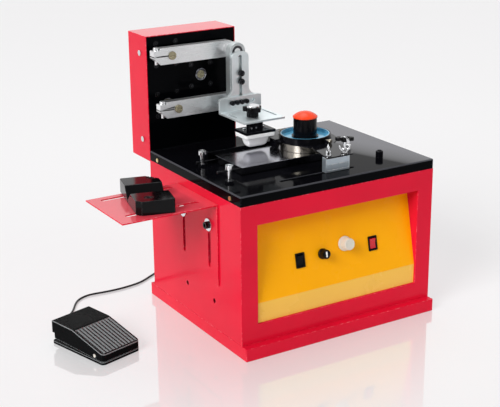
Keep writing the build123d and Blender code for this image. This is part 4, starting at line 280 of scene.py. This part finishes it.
materials = {
    "red_enamel": paint("red_enamel", (0.70, 0.006, 0.032), 0.15, (0.85, 0.16, 0.20), spec=0.13),
    "orange_enamel": paint("orange_enamel", (1.0, 0.42, 0.001), 0.24, (0.95, 0.62, 0.15), spec=0.13,
                           vary=0.03),
    "black_enamel": paint("black_enamel", (0.0035, 0.0035, 0.005), 0.07, (0.05, 0.05, 0.06),
                          peel=0.000003, spec=0.14),
    # A paler, less saturated, glossier copy of the orange paint for the panel's upright lower
    # strip: a painted reflection of the pale floor.
    "orange_strip_painted_reflection": paint("orange_strip_painted_reflection", (0.88, 0.50, 0.075), 0.24, (0.95, 0.62, 0.25), spec=0.35,
                          vary=0.04),
    "lid_enamel": lid_finish(),
    "face_enamel": paint("face_enamel", (0.0010, 0.0012, 0.0018), 0.10, (0.02, 0.02, 0.025),
                         peel=0.000003, spec=0.03),
    # A paler, glossier copy of the red paint for upward faces: a painted highlight of the bright
    # sky on their tops.
    "red_top_painted_highlight": paint("red_top_painted_highlight", (0.80, 0.06, 0.09), 0.12, (0.90, 0.50, 0.52), spec=0.9),
    "pedal_cast": pedal_finish(),
    "ground_steel": brushed("ground_steel", (0.42, 0.42, 0.47), 0.16, ALONG_X, grain=0.000003,
                            vary=0.10),
    # A near-black copy of the plate's steel for its sides: painted shade on the plate's edges.
    "plate_side_painted_shade": brushed("plate_side_painted_shade", (0.06, 0.06, 0.075), 0.20, ALONG_X, grain=0.000003),
    "bright_steel": brushed("bright_steel", (0.78, 0.79, 0.81), 0.16, ALONG_X, grain=0.000003,
                            vary=0.08),
    # Its edges are painted half as bright again: a painted highlight outlining the plates.
    "plate_steel": brushed("plate_steel", (0.86, 0.93, 0.95), 0.42, ALONG_Z, metal=0.9,
                           grain=0.000004, vary=0.07, edge_wear_and_highlight=0.5),
    "cup_steel": brushed("cup_steel", (0.50, 0.46, 0.38), 0.20, FLAT, grain=0.000003, vary=0.10),
    # Their edges are painted seven times brighter than the body: painted glints on the rims of the
    # bushes and screws.
    "bush_steel": brushed("bush_steel", (0.10, 0.10, 0.11), 0.28, FLAT, edge_wear_and_highlight=6.0),
    "screw_steel": brushed("screw_steel", (0.022, 0.022, 0.024), 0.28, FLAT, edge_wear_and_highlight=6.0),
    "post_steel": brushed("post_steel", (0.60, 0.68, 0.75), 0.38, ALONG_X, metal=0.9,
                          grain=0.000004, vary=0.07, edge_wear_and_highlight=0.9),
    "dark_steel": brushed("dark_steel", (0.022, 0.022, 0.025), 0.25, FLAT, grain=0.000004,
                          edge_wear_and_highlight=3.0),
    "warm_steel": brushed("warm_steel", (0.40, 0.36, 0.24), 0.26, FLAT, scale=300, edge_wear_and_highlight=0.8),
    "arm_aluminium": brushed("arm_aluminium", (0.86, 0.87, 0.88), 0.30, ALONG_X, metal=0.92,
                             grain=0.000004, vary=0.05),
    "coupler_aluminium": brushed("coupler_aluminium", (0.60, 0.64, 0.65), 0.40, ALONG_Z, metal=0.9,
                                 grain=0.000004, vary=0.08, edge_wear_and_highlight=0.5),
    "brass": brushed("brass", (0.85, 0.68, 0.34), 0.28, FLAT, scale=200),
    "black_plastic": moulded("black_plastic", (0.003, 0.003, 0.004), 0.14, grain=0.000005,
                             spec=0.10),
    "gloss_black": moulded("gloss_black", (0.0025, 0.0025, 0.003), 0.13, grain=0.000006, spec=0.15),
    "dark_plastic": moulded("dark_plastic", (0.006, 0.006, 0.007), 0.30, grain=0.00002,
                            grain_scale=900, spec=0.28),
    "white_plastic": moulded("white_plastic", (0.66, 0.63, 0.55), 0.28, vary=0.05,
                             **{"Subsurface Weight": 0.15,
                                "Subsurface Radius": (0.003, 0.002, 0.0015)}),
    "red_plastic": moulded("red_plastic", (0.62, 0.008, 0.02), 0.14, spec=0.5),
    "orange_plastic": moulded("orange_plastic", (0.92, 0.058, 0.012), 0.20, spec=0.25, vary=0.05),
    "blue_dish": moulded("blue_dish", (0.12, 0.45, 0.68), 0.14, spec=0.8, vary=0.15),
    "mark_white": moulded("mark_white", (0.85, 0.85, 0.83), 0.30, vary=0.02),
    "pad_rubber": moulded("pad_rubber", (0.98, 0.98, 0.98), 0.36, grain=0.000008, vary=0.01,
                          **{"Subsurface Weight": 0.35,
                             "Subsurface Radius": (0.006, 0.006, 0.006)}),
    "cable_rubber": moulded("cable_rubber", (0.010, 0.010, 0.011), 0.40, grain_scale=2500,
                            spec=0.25),
    "board_green": moulded("board_green", (0.02, 0.16, 0.06), 0.35),
}
node_slot = {s["node"]: s["material_slot"] for s in frame["record"]["subparts"]}
node_body = {name: obj["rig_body"] for name, obj in frame["nodes"].items()}
own_finish = {
    "slotted_plate": "plate_steel", "angle_bracket": "plate_steel", "coupler": "coupler_aluminium",
    "carriage_post": "post_steel", "lid": "lid_enamel", "face_plate": "face_enamel",
    "cup_ring": "cup_steel",
    "shaft_bushes": "bush_steel", "upper_arm_shaft": "warm_steel", "lower_arm_shaft": "warm_steel",
    "drive_gear": "warm_steel", "jig_blocks": "gloss_black", "pedal_cover": "pedal_cast",
    "pedal_base": "pedal_cast", "coupler_bearings": "bush_steel", "plate_fence": "face_enamel",
}
for name, obj in frame["nodes"].items():
    finish = materials[own_finish.get(name, node_slot[name])]
    for place in obj.material_slots:
        place.material = finish


# ---------------------------------------------------------------- pieces
MERGE_DISTANCE = 0.000002
FLAT_ANGLE = 0.4  # degrees between faces that count as one


def add_piece(name, mesh, body, slot, finish=None, replaces=()):
    """Link a finished mesh, give it its material, and hang it on its body."""
    obj = bpy.data.objects.new(name, mesh)
    bpy.context.scene.collection.objects.link(obj)
    mesh.materials.clear()
    mesh.materials.append(materials[finish or slot])
    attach(obj, body)
    if replaces:
        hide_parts(*replaces)
    return obj


def smooth(mesh, angle=38):
    for face in mesh.polygons:
        face.use_smooth = True
    mesh.set_sharp_from_angle(angle=math.radians(angle))


def even_normals(obj):
    """Keep flat faces flat beside their rounded edges."""
    weighted = obj.modifiers.new("even_normals", "WEIGHTED_NORMAL")
    weighted.keep_sharp = True
    weighted.weight = 100


def solids(bm):
    """The separate solids of a mesh, as sets of vertices."""
    left, found = set(bm.verts), []
    while left:
        grown, front = set(), [left.pop()]
        while front:
            vert = front.pop()
            grown.add(vert)
            near = {edge.other_vert(vert) for edge in vert.link_edges} & left
            left -= near
            front += near
        found.append(grown)
    return found


def clean_copy(node, pick=None):
    """A merged, dissolved copy of a CAD node, or of those of its solids that pass a test.

    The test is told a solid's centre and size in mm."""
    source = frame["nodes"][node].data
    mesh = bpy.data.meshes.new(node + "_dressed")
    mesh.from_pydata([v.co[:] for v in source.vertices], [],
                     [f.vertices[:] for f in source.polygons])
    bm = bmesh.new()
    bm.from_mesh(mesh)
    bmesh.ops.remove_doubles(bm, verts=bm.verts, dist=MERGE_DISTANCE)
    if pick:
        for group in solids(bm):
            low = Vector([min(v.co[i] for v in group) for i in range(3)]) / MM
            high = Vector([max(v.co[i] for v in group) for i in range(3)]) / MM
            if not pick((low + high) / 2, high - low):
                bmesh.ops.delete(bm, geom=list(group), context="VERTS")
    bmesh.ops.dissolve_limit(bm, angle_limit=math.radians(FLAT_ANGLE), verts=bm.verts,
                             edges=bm.edges)
    return mesh, bm


def round_off(bm, edges, width, segments):
    """Bevel edges and mark the new faces for the paler edge colour, which is partly rubbed wear and
    partly a painted highlight.
    """
    layer = bm.faces.layers.float.get("edge") or bm.faces.layers.float.new("edge")
    made = bmesh.ops.bevel(bm, geom=edges, offset=width * MM, offset_type="OFFSET",
                           segments=segments, profile=0.5, affect="EDGES", clamp_overlap=False)
    for face in made["faces"]:
        face[layer] = 1.0


def sharp_edges(bm, angle=34):
    return [edge for edge in bm.edges
            if len(edge.link_faces) == 2 and edge.calc_face_angle() > math.radians(angle)]


def dress(node, width, segments=2, first=None, pick=None, name=None, finish=None, other=None):
    """Stand a copy with rounded, marked edges in for a CAD node.

    first is (test on an edge, width, segments) for edges with a wider round, and other is
    (finish, test on a face) for faces with a second finish."""
    mesh, bm = clean_copy(node, pick)
    if first:
        test, wide, steps = first
        round_off(bm, [e for e in sharp_edges(bm) if test(e)], wide, steps)
    round_off(bm, sharp_edges(bm), width, segments)
    bm.to_mesh(mesh)
    bm.free()
    smooth(mesh)
    obj = add_piece(name or node + "_dressed", mesh, node_body[node], node_slot[node],
                    finish or own_finish.get(node), [node])
    if other:
        mesh.materials.append(materials[other[0]])
        for face in mesh.polygons:
            face.material_index = int(other[1](face))
    even_normals(obj)
    return obj


for node, width in (
    ("base_tray", 0.7), ("cabinet_shell", 0.5), ("face_plate", 0.4),
    ("plate_fence", 0.5), ("upper_arm", 0.3),
    ("lower_arm", 0.3), ("coupler", 0.5), ("slotted_plate", 0.35), ("angle_bracket", 0.35),
    ("pad_block", 0.5), ("carriage_post", 0.35), ("cup_carriage", 0.3), ("cup_carrier", 0.35),
    ("jig_blocks", 0.9), ("switch_bezels", 0.4), ("rocker_black", 0.5),
    ("rocker_red", 0.5), ("power_inlet", 0.3), ("shaft_bushes", 0.5), ("drive_gear", 0.3),
    ("slide_screws", 0.4), ("bracket_screws", 0.4),
    ("lid_collars", 0.4), ("skirt_screws", 0.3), ("cup_ring", 0.3), ("pad_fasteners", 0.25),
    ("star_knob", 0.5), ("pedal_fittings", 0.3), ("cord_glands", 0.3),
):
    dress(node, width)


LID_RIM_X, LID_RIM_Y, LID_TOP, LID_SKIRT_TOP = 0.1585, 0.1275, 230.2, 0.2275
CORNER_HEIGHT = 0.010
UPWARD, SIDEWAYS = 0.9, 0.5
COLUMN_TOP, STRIP_TOP = 0.39, 0.0743
ARM_PIVOT_X, SHAFT_LENGTH = -120, 20
FACE_Y, COLUMN_LEFT_X, WASHER_X, BAR_WIDTH = 140, -158, -162.5, 14


def all_at(edge, axis, value, near=0.3):
    return all(abs(v.co[axis] / MM - value) < near for v in edge.verts)


def lid_rim(edge):
    """The lid's outer edges: round the top and down the corners."""
    if not all(abs(v.co.x) > LID_RIM_X or abs(v.co.y) > LID_RIM_Y for v in edge.verts):
        return False
    along = abs(edge.verts[0].co.z - edge.verts[1].co.z)
    return all_at(edge, 2, LID_TOP) or along > CORNER_HEIGHT


def two_finishes(node, first, second, test):
    """Dress a node as two pieces: its solids that pass a test, and the rest.

    first and second are (name, width, finish)."""
    for (name, width, finish), wanted in ((first, True), (second, False)):
        dress(node, width, name=name, finish=finish, pick=lambda at,
              size: bool(test(at, size)) == wanted)


# The lid's skirt takes the darker, duller face_enamel, without the lid's paler sheen: painted shade
# on the lid's upright sides.
dress("lid", 0.5, first=(lid_rim, 1.8, 4), other=("face_enamel",
                                                  lambda face: face.center.z < LID_SKIRT_TOP))
# The column's upward top faces take the paler red: a painted highlight.
dress("column_housing", 0.9,
      other=("red_top_painted_highlight", lambda face: face.normal.z > UPWARD and face.center.z > COLUMN_TOP))
# The shelf's upward faces take the paler red: a painted highlight.
dress("shelf_bracket", 0.4, other=("red_top_painted_highlight", lambda face: face.normal.z > UPWARD))
for arm in ("upper_arm_shaft", "lower_arm_shaft"):
    two_finishes(arm, (arm + "_end", 0.4, None), (arm + "_fixings", 0.4, "arm_aluminium"),
                 lambda at, size: at.x < ARM_PIVOT_X and size.y > SHAFT_LENGTH)
# The panel's upright lower strip takes the paler orange: a painted reflection of the floor.
dress("control_panel", 0.4, other=("orange_strip_painted_reflection", lambda face: face.center.z < STRIP_TOP))
# The plate's sides take the near-black steel: painted shade.
dress("printing_plate", 0.4, other=("plate_side_painted_shade", lambda face: face.normal.z < SIDEWAYS))
dress("pedal_cover", 0.9, segments=3)
dress("pedal_base", 0.6)
two_finishes("column_screws", ("face_screws", 0.3, "screw_steel"), ("side_screws", 0.3, None),
             lambda at, size: at.y < FACE_Y and at.x > COLUMN_LEFT_X)
two_finishes("shelf_bolts", ("shelf_bolt_heads", 0.4, "dark_steel"), ("shelf_washers", 0.3, None),
             lambda at, size: at.x > WASHER_X)
two_finishes("plate_clamps", ("clamp_bars", 0.3, "dark_steel"), ("clamp_posts", 0.4, None),
             lambda at, size: size.x > BAR_WIDTH)


def section(z, half_x, half_y, power, count=96):
    """A rounded rectangle of points at one height, in mm from the centre."""
    ring = []
    for k in range(count):
        c, s = math.cos(2 * math.pi * k / count), math.sin(2 * math.pi * k / count)
        ring.append((half_x * math.copysign(abs(c) ** (2 / power), c),
                     half_y * math.copysign(abs(s) ** (2 / power), s), z))
    return ring


def skin(name, rings, place=None):
    """A closed mesh through rings of points in mm, capped at both ends."""
    bm = bmesh.new()
    rows = [[bm.verts.new((place @ Vector(p) if place else Vector(p)) * MM) for p in ring]
            for ring in rings]
    count = len(rows[0])
    for lower, upper in zip(rows, rows[1:]):
        for k in range(count):
            bm.faces.new((lower[k], lower[(k + 1) % count], upper[(k + 1) % count], upper[k]))
    bm.faces.new(reversed(rows[0]))
    bm.faces.new(rows[-1])
    bmesh.ops.recalc_face_normals(bm, faces=bm.faces)
    mesh = bpy.data.meshes.new(name)
    bm.to_mesh(mesh)
    bm.free()
    smooth(mesh)
    return mesh


# ---------------------------------------------------------------- silicone pad
PAD_AT = (-45.0, 21.0, 0)
PAD_SIDE_Z, PAD_SIDE_H, PAD_STEPS = 247.6, 12.9, 8
pad_rings = [section(246.9, 12.0, 5.0, 5), section(247.05, 13.1, 5.9, 5),
             section(PAD_SIDE_Z, 13.9, 6.5, 5)]
for step in range(1, PAD_STEPS + 1):
    share = step / PAD_STEPS
    pad_rings.append(section(PAD_SIDE_Z + PAD_SIDE_H * share, 14.0 + 4.6 * share ** 0.62,
                             6.6 + 4.6 * share ** 0.70, 6))
pad_rings += [section(261.0, 19.4, 12.0, 6), section(261.0, 23.2, 15.2, 12),
              section(261.35, 23.9, 15.9, 12),
              section(262.0, 24.3, 16.3, 14), section(266.4, 24.4, 16.4, 14),
              section(267.0, 24.1, 16.1, 14)]
pad_mesh = skin("silicone_pad", pad_rings, Matrix.Translation(PAD_AT))
even_normals(add_piece("silicone_pad", pad_mesh, "pad_holder", "pad_rubber",
                       replaces=["print_pad"]))


# ---------------------------------------------------------------- knobs on the panel
PANEL_OUT, PANEL_RISE = (0, -0.97870, 0.20531), (0, 0.20531, 0.97870)
PANEL_FOOT_Y, PANEL_FOOT_Z = -125.65, 74.5
BLACK_KNOB_AT, WHITE_KNOB_AT = (-22.0, 46.5), (16.0, 53.6)  # mm across and up the panel


def panel_place(x, up):
    """The matrix of a spot on the control panel, in mm, with local z out of its face."""
    out, rise = Vector(PANEL_OUT), Vector(PANEL_RISE)
    spot = Vector((x, PANEL_FOOT_Y, PANEL_FOOT_Z)) + rise * up
    return Matrix.Translation(spot) @ Matrix((Vector((1, 0, 0)), rise, out)).transposed().to_4x4()


def fluted(radius, z, depth, count, steps=8):
    """A ring with round flutes cut into its rim."""
    ring = []
    for k in range(count * steps):
        at = 2 * math.pi * k / (count * steps)
        r = radius - depth * (0.5 + 0.5 * math.cos(count * at)) ** 1.6
        ring.append((r * math.cos(at), r * math.sin(at), z))
    return ring


black_place = panel_place(*BLACK_KNOB_AT)
knob_rings = [fluted(r, z, d, 18) for r, z, d in (
    (7.1, 0.6, 0), (7.5, 0.9, 0), (7.5, 3.4, 0), (7.1, 3.8, 0.1), (6.95, 4.2, 0.5),
    (6.5, 11.2, 0.5),
    (6.2, 11.8, 0.2), (5.7, 12.0, 0), (4.9, 12.0, 0), (4.7, 11.7, 0))]
even_normals(add_piece("knob_black_fluted", skin("knob_black_fluted", knob_rings, black_place),
                       "black_knob",
                       "black_plastic", "gloss_black", ["knob_black"]))
mark_rings = [section(z, hx, hy, 8, 32) for z, hx, hy in ((11.5, 1.2, 3.9), (12.05, 1.2, 3.9),
                                                          (12.15, 1.0, 3.7))]
add_piece("knob_black_mark", skin("knob_black_mark", mark_rings, black_place), "black_knob",
          "white_plastic",
          "mark_white")
white_rings = [fluted(r, z, d, 26) for r, z, d in (
    (10.0, 0.6, 0), (10.5, 1.0, 0), (10.5, 2.6, 0), (10.2, 3.0, 0), (9.3, 3.4, 0.3),
    (9.0, 3.9, 0.55),
    (8.6, 13.2, 0.55), (8.3, 14.3, 0.35), (7.7, 14.9, 0.1), (6.9, 15.0, 0), (6.2, 15.0, 0),
    (5.9, 14.75, 0))]
even_normals(add_piece("knob_white_fluted", skin("knob_white_fluted", white_rings,
                                                 panel_place(*WHITE_KNOB_AT)),
                       "white_knob", "white_plastic", None, ["knob_white"]))


# ---------------------------------------------------------------- wing nuts, strap, strain relief
WING_THICK, WING_TAPER = 1.35, 0.05
WING_NUTS_Y, WING_NUTS_Z = -98.7, 253.5
WING_NUTS = ((-1.6, 56.0, 1.0), (25.6, -31.0, 0.78))  # x in mm, turn in degrees, size of the wings
STUD_WIDTH = 12


def turned(name, rings, at):
    """A round piece about an upright axis from (radius, z) pairs in mm."""
    return skin(name, [fluted(r, z, 0, 8, 6) for r, z in rings], Matrix.Translation(at))


def wing(name, at, turn, size=1.0):
    """A wing nut: a coned hub and two flared, rounded wings."""
    hub = turned(name, ((4.3, 0), (4.6, 0.4), (3.9, 4.5), (3.5, 6.2), (3.2, 6.5)), at)
    outline = ((2.0, 1.0), (4.5, 1.6), (7.4, 4.2), (9.7, 7.8), (10.5, 10.8), (10.2, 13.0),
               (9.2, 13.9),
               (7.9, 13.3), (7.0, 11.2), (5.6, 8.4), (3.9, 6.6), (2.0, 6.2))
    bm = bmesh.new()
    bm.from_mesh(hub)
    way = Vector((math.cos(math.radians(turn)), math.sin(math.radians(turn)), 0))
    flat = Vector((-way.y, way.x, 0))
    for side in (-1, 1):
        sheets = []
        for face in (-1, 1):
            spots = [Vector(at) + way * side * r * size + Vector((0, 0, z * size))
                     + flat * face * (WING_THICK - WING_TAPER * z) for r, z in outline]
            sheets.append([bm.verts.new(spot * MM) for spot in spots])
        bm.faces.new(sheets[0])
        bm.faces.new(reversed(sheets[1]))
        for k in range(len(outline)):
            after = (k + 1) % len(outline)
            bm.faces.new((sheets[0][k], sheets[1][k], sheets[1][after], sheets[0][after]))
    bmesh.ops.recalc_face_normals(bm, faces=bm.faces)
    round_off(bm, sharp_edges(bm, 60), 0.45, 3)
    bm.to_mesh(hub)
    bm.free()
    smooth(hub, 50)
    return hub


dress("carriage_nuts", 0.3, name="carriage_studs", pick=lambda at,
      size: max(size.x, size.y) < STUD_WIDTH)
for number, (x, turn, size) in enumerate(WING_NUTS, 1):
    label = "wing_nut_%d" % number
    nut = wing(label, (x, WING_NUTS_Y, WING_NUTS_Z), turn, size)
    even_normals(add_piece(label, nut, "cup_slide", "bright_steel"))
dress("tension_knob", 1.1, segments=3, finish="gloss_black")


def swept(name, path, half_w, half_t, across):
    """A flat band with soft corners along points in mm; across is its width's direction."""
    rings = []
    for k, at in enumerate(path):
        way = (Vector(path[min(k + 1, len(path) - 1)]) - Vector(path[max(k - 1, 0)])).normalized()
        side = Vector(across).normalized()
        thick = way.cross(side).normalized()
        rings.append([Vector(at) + side * px + thick * py for px, py,
                      _ in section(0, half_w, half_t, 4, 20)])
    return skin(name, rings)


STRAP_HALF_W, STRAP_HALF_T, STRAP_ACROSS = 1.9, 0.45, (0.86, -0.51, 0)
strap = [(20.6, -97.6, 275.6), (21.6, -99.4, 276.5), (23.0, -101.6, 276.9), (24.4, -103.4, 276.6),
         (25.5, -104.6, 275.4), (26.2, -105.2, 273.6), (26.6, -105.5, 271.6), (26.8, -105.5, 269.6),
         (26.9, -105.2, 268.3)]
band = swept("tension_strap", strap, STRAP_HALF_W, STRAP_HALF_T, STRAP_ACROSS)
even_normals(add_piece("tension_strap", band, "tension_knob", "bright_steel"))

BOOT_AT = (-326.45, 75.1, 2.85)
BOOT_RADIUS, BOOT_TAPER, BOOT_RIB = 2.55, 0.075, 0.16
BOOT_STEP, BOOT_RINGS = 0.5, 19
pedal_way = Vector((-math.sin(math.radians(PEDAL_TURN)), math.cos(math.radians(PEDAL_TURN)), 0))
boot = []
for step in range(BOOT_RINGS):
    reach, rib = step * BOOT_STEP, BOOT_RIB * math.cos(math.pi * step)
    boot.append((BOOT_RADIUS - BOOT_TAPER * step + (rib if 2 < step < BOOT_RINGS - 2 else 0),
                 reach))
boot_place = Matrix.Translation(BOOT_AT) @ pedal_way.to_track_quat("Z", "Y").to_matrix().to_4x4()
strain_relief = add_piece("pedal_strain_relief", skin("pedal_strain_relief", [
    fluted(r, z, 0, 8, 4) for r, z in boot], boot_place), "cabinet", "cable_rubber")

# ---------------------------------------------------------------- cord
COIL_X, COIL_Y, COIL_PITCH = -80.0, 190.5, 1.95
OUTER_REACH, INNER_REACH = 24.3, 8.7  # mm from the coil's middle
LOWER_Z, UPPER_Z = 1.6, 5.6  # the two layers of the coil
HALF_TURNS, UPPER_START, STEPS = 16, 8, 6
CORD_RADIUS = 1.5
route = [(-326.68, 75.92, 2.85), (-331.2, 92.3, 2.85)]
route += [(x, y, LOWER_Z) for x, y in (
    (-322, 110), (-306, 124), (-290.8, 138.4), (-273.8, 167.3), (-261, 178.3), (-244.7, 183.8),
    (-222.5, 180.7), (-199.7, 179.1), (-174.6, 181.5), (-153.8, 186.4), (-127, 203), (-106, 214.8),
    (-83, 214.8))]
for half in range(HALF_TURNS):
    inward = OUTER_REACH - COIL_PITCH * half
    if half < UPPER_START:
        reach, low, rise, step_out = inward, LOWER_Z, 0, -COIL_PITCH
    elif half == UPPER_START:
        reach, low, rise, step_out = inward, LOWER_Z, UPPER_Z - LOWER_Z, 0
    else:
        outward = INNER_REACH + COIL_PITCH * (half - 1 - UPPER_START)
        reach, low, rise, step_out = outward, UPPER_Z, 0, COIL_PITCH
    for step in range(1, STEPS + 1):
        share = step / STEPS
        at = math.pi * (0.5 - half - share)
        out = reach + step_out * share
        route.append((COIL_X + out * math.cos(at), COIL_Y + out * math.sin(at), low + rise * share))
route += [(-77, 212.85, UPPER_Z), (-63, 212.85, UPPER_Z), (-44, 207.6, 9), (-39.5, 190, 15),
          (-37, 170, 25),
          (-38, 155, 30), (-38, 141.65, 30)]
cord_curve = bpy.data.curves.new("pedal_cord_line", "CURVE")
cord_curve.dimensions = "3D"
cord_curve.bevel_depth = CORD_RADIUS * MM
cord_curve.bevel_resolution = 5
cord_curve.resolution_u = 6
cord_curve.use_fill_caps = True
line = cord_curve.splines.new("NURBS")
line.points.add(len(route) - 1)
for point, place in zip(line.points, route):
    point.co = (place[0] * MM, place[1] * MM, place[2] * MM, 1)
line.order_u = 3
line.use_endpoint_u = True
cord_curve.materials.append(materials["cable_rubber"])
pedal_cord = bpy.data.objects.new("pedal_cord_line", cord_curve)
bpy.context.scene.collection.objects.link(pedal_cord)
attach(pedal_cord, "cabinet")
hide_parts("pedal_cord", "cord_coil")

# ---------------------------------------------------------------- floor and light
FLOOR_HALF, FLOOR_DROP = 6, 0.0002
FLOOR_GLOW = 0.55  # how far the camera sees the floor as plain white
# Where the floor mirrors: centre, half size, reach of the fade, level
CABINET_PATCH = ((0, 0, 0), (0.16, 0.14, 1), 0.30, 0.30)
PEDAL_PATCH = ((-0.31, 0.01, 0), (0.045, 0.06, 1), 0.12, 0.22)
floor_mesh = bpy.data.meshes.new("floor")
floor_mesh.from_pydata([(x * FLOOR_HALF, y * FLOOR_HALF, 0) for x,
                        y in ((-1, -1), (1, -1), (1, 1), (-1, 1))],
                       [], [(0, 1, 2, 3)])
floor = bpy.data.objects.new("floor", floor_mesh)
bpy.context.scene.collection.objects.link(floor)
floor.location.z = -FLOOR_DROP
floor_finish = Finish("floor")
floor_finish.finish(**{"Base Color": WHITE, "Roughness": 0.30, "Specular IOR Level": 0.2})
tree = floor_finish.tree
glow = tree.nodes.new("ShaderNodeEmission")
glow.inputs["Color"].default_value = WHITE
watched = tree.nodes.new("ShaderNodeLightPath")
shown = tree.nodes.new("ShaderNodeMath")
shown.operation = "MULTIPLY"
shown.inputs[1].default_value = FLOOR_GLOW
tree.links.new(watched.outputs["Is Camera Ray"], shown.inputs[0])
both = tree.nodes.new("ShaderNodeMixShader")
tree.links.new(shown.outputs[0], both.inputs["Fac"])
tree.links.new(floor_finish.shader.outputs[0], both.inputs[1])
tree.links.new(glow.outputs[0], both.inputs[2])


def near_patch(centre, half, reach, level):
    """A share that is level inside a box on the floor and fades to nothing at a reach beyond it."""
    away = floor_finish.vector("SUBTRACT", floor_finish.coords.outputs["Object"], centre)
    beyond = floor_finish.vector("SUBTRACT", floor_finish.vector("ABSOLUTE", away), half)
    outside = floor_finish.vector("LENGTH", floor_finish.vector("MAXIMUM", beyond))
    return floor_finish.span(outside, level, 0, 0, reach)


polish = floor_finish.combine("MAXIMUM", near_patch(*CABINET_PATCH), near_patch(*PEDAL_PATCH))
gloss = tree.nodes.new("ShaderNodeBsdfGlossy")
gloss.inputs["Color"].default_value = (0.97, 0.97, 0.98, 1)
gloss.inputs["Roughness"].default_value = 0.03
polished = tree.nodes.new("ShaderNodeMixShader")
tree.links.new(polish, polished.inputs["Fac"])
tree.links.new(both.outputs[0], polished.inputs[1])
tree.links.new(gloss.outputs[0], polished.inputs[2])
tree.links.new(polished.outputs[0], tree.nodes["Material Output"].inputs["Surface"])
floor_mesh.materials.append(floor_finish.mat)

world = bpy.data.worlds.new("world")
bpy.context.scene.world = world
world.use_nodes = True
nodes, links = world.node_tree.nodes, world.node_tree.links
nodes.clear()
output = nodes.new("ShaderNodeOutputWorld")
ambient = nodes.new("ShaderNodeBackground")
ambient.inputs["Strength"].default_value = 0.50
seen = nodes.new("ShaderNodeBackground")
seen.inputs["Color"].default_value = WHITE
studio = nodes.new("ShaderNodeBackground")
direction = nodes.new("ShaderNodeTexCoord")
parts = nodes.new("ShaderNodeSeparateXYZ")
links.new(direction.outputs["Generated"], parts.inputs[0])
room = nodes.new("ShaderNodeMapRange")
room.interpolation_type = "SMOOTHSTEP"
for limit, value in (("From Min", -0.55), ("From Max", 0.25), ("To Min", 0.22), ("To Max", 1.25)):
    room.inputs[limit].default_value = value
links.new(parts.outputs["Y"], room.inputs["Value"])
links.new(room.outputs[0], studio.inputs["Strength"])
rays = nodes.new("ShaderNodeLightPath")
mirror = nodes.new("ShaderNodeMath")
mirror.operation = "MAXIMUM"
links.new(rays.outputs["Is Glossy Ray"], mirror.inputs[0])
links.new(rays.outputs["Is Transmission Ray"], mirror.inputs[1])
by_mirror = nodes.new("ShaderNodeMixShader")
links.new(mirror.outputs[0], by_mirror.inputs["Fac"])
links.new(ambient.outputs[0], by_mirror.inputs[1])
links.new(studio.outputs[0], by_mirror.inputs[2])
by_eye = nodes.new("ShaderNodeMixShader")
links.new(rays.outputs["Is Camera Ray"], by_eye.inputs["Fac"])
links.new(by_mirror.outputs[0], by_eye.inputs[1])
links.new(seen.outputs[0], by_eye.inputs[2])
links.new(by_eye.outputs[0], output.inputs["Surface"])


def lamp(name, place, target, size, power):
    data = bpy.data.lights.new(name, "AREA")
    data.shape = "SQUARE"
    data.size = size
    data.energy = power
    obj = bpy.data.objects.new(name, data)
    bpy.context.scene.collection.objects.link(obj)
    obj.location = place
    aim = Vector(target) - Vector(place)
    obj.rotation_euler = aim.to_track_quat("-Z", "Y").to_euler()


def sun(name, toward, level, angle):
    """A wide, far lamp: level is what it adds on a surface that faces it."""
    data = bpy.data.lights.new(name, "SUN")
    data.energy = level * math.pi
    data.angle = math.radians(angle)
    obj = bpy.data.objects.new(name, data)
    bpy.context.scene.collection.objects.link(obj)
    obj.rotation_euler = Vector(toward).to_track_quat("-Z", "Y").to_euler()


sun("key", (0.80, 0.28, -0.52), 0.80, 30)
sun("fill", (-0.35, 0.80, -0.50), 0.10, 50)
lamp("top", (0.1, 0.6, 2.0), (0, 0.05, 0.2), 1.2, 9)
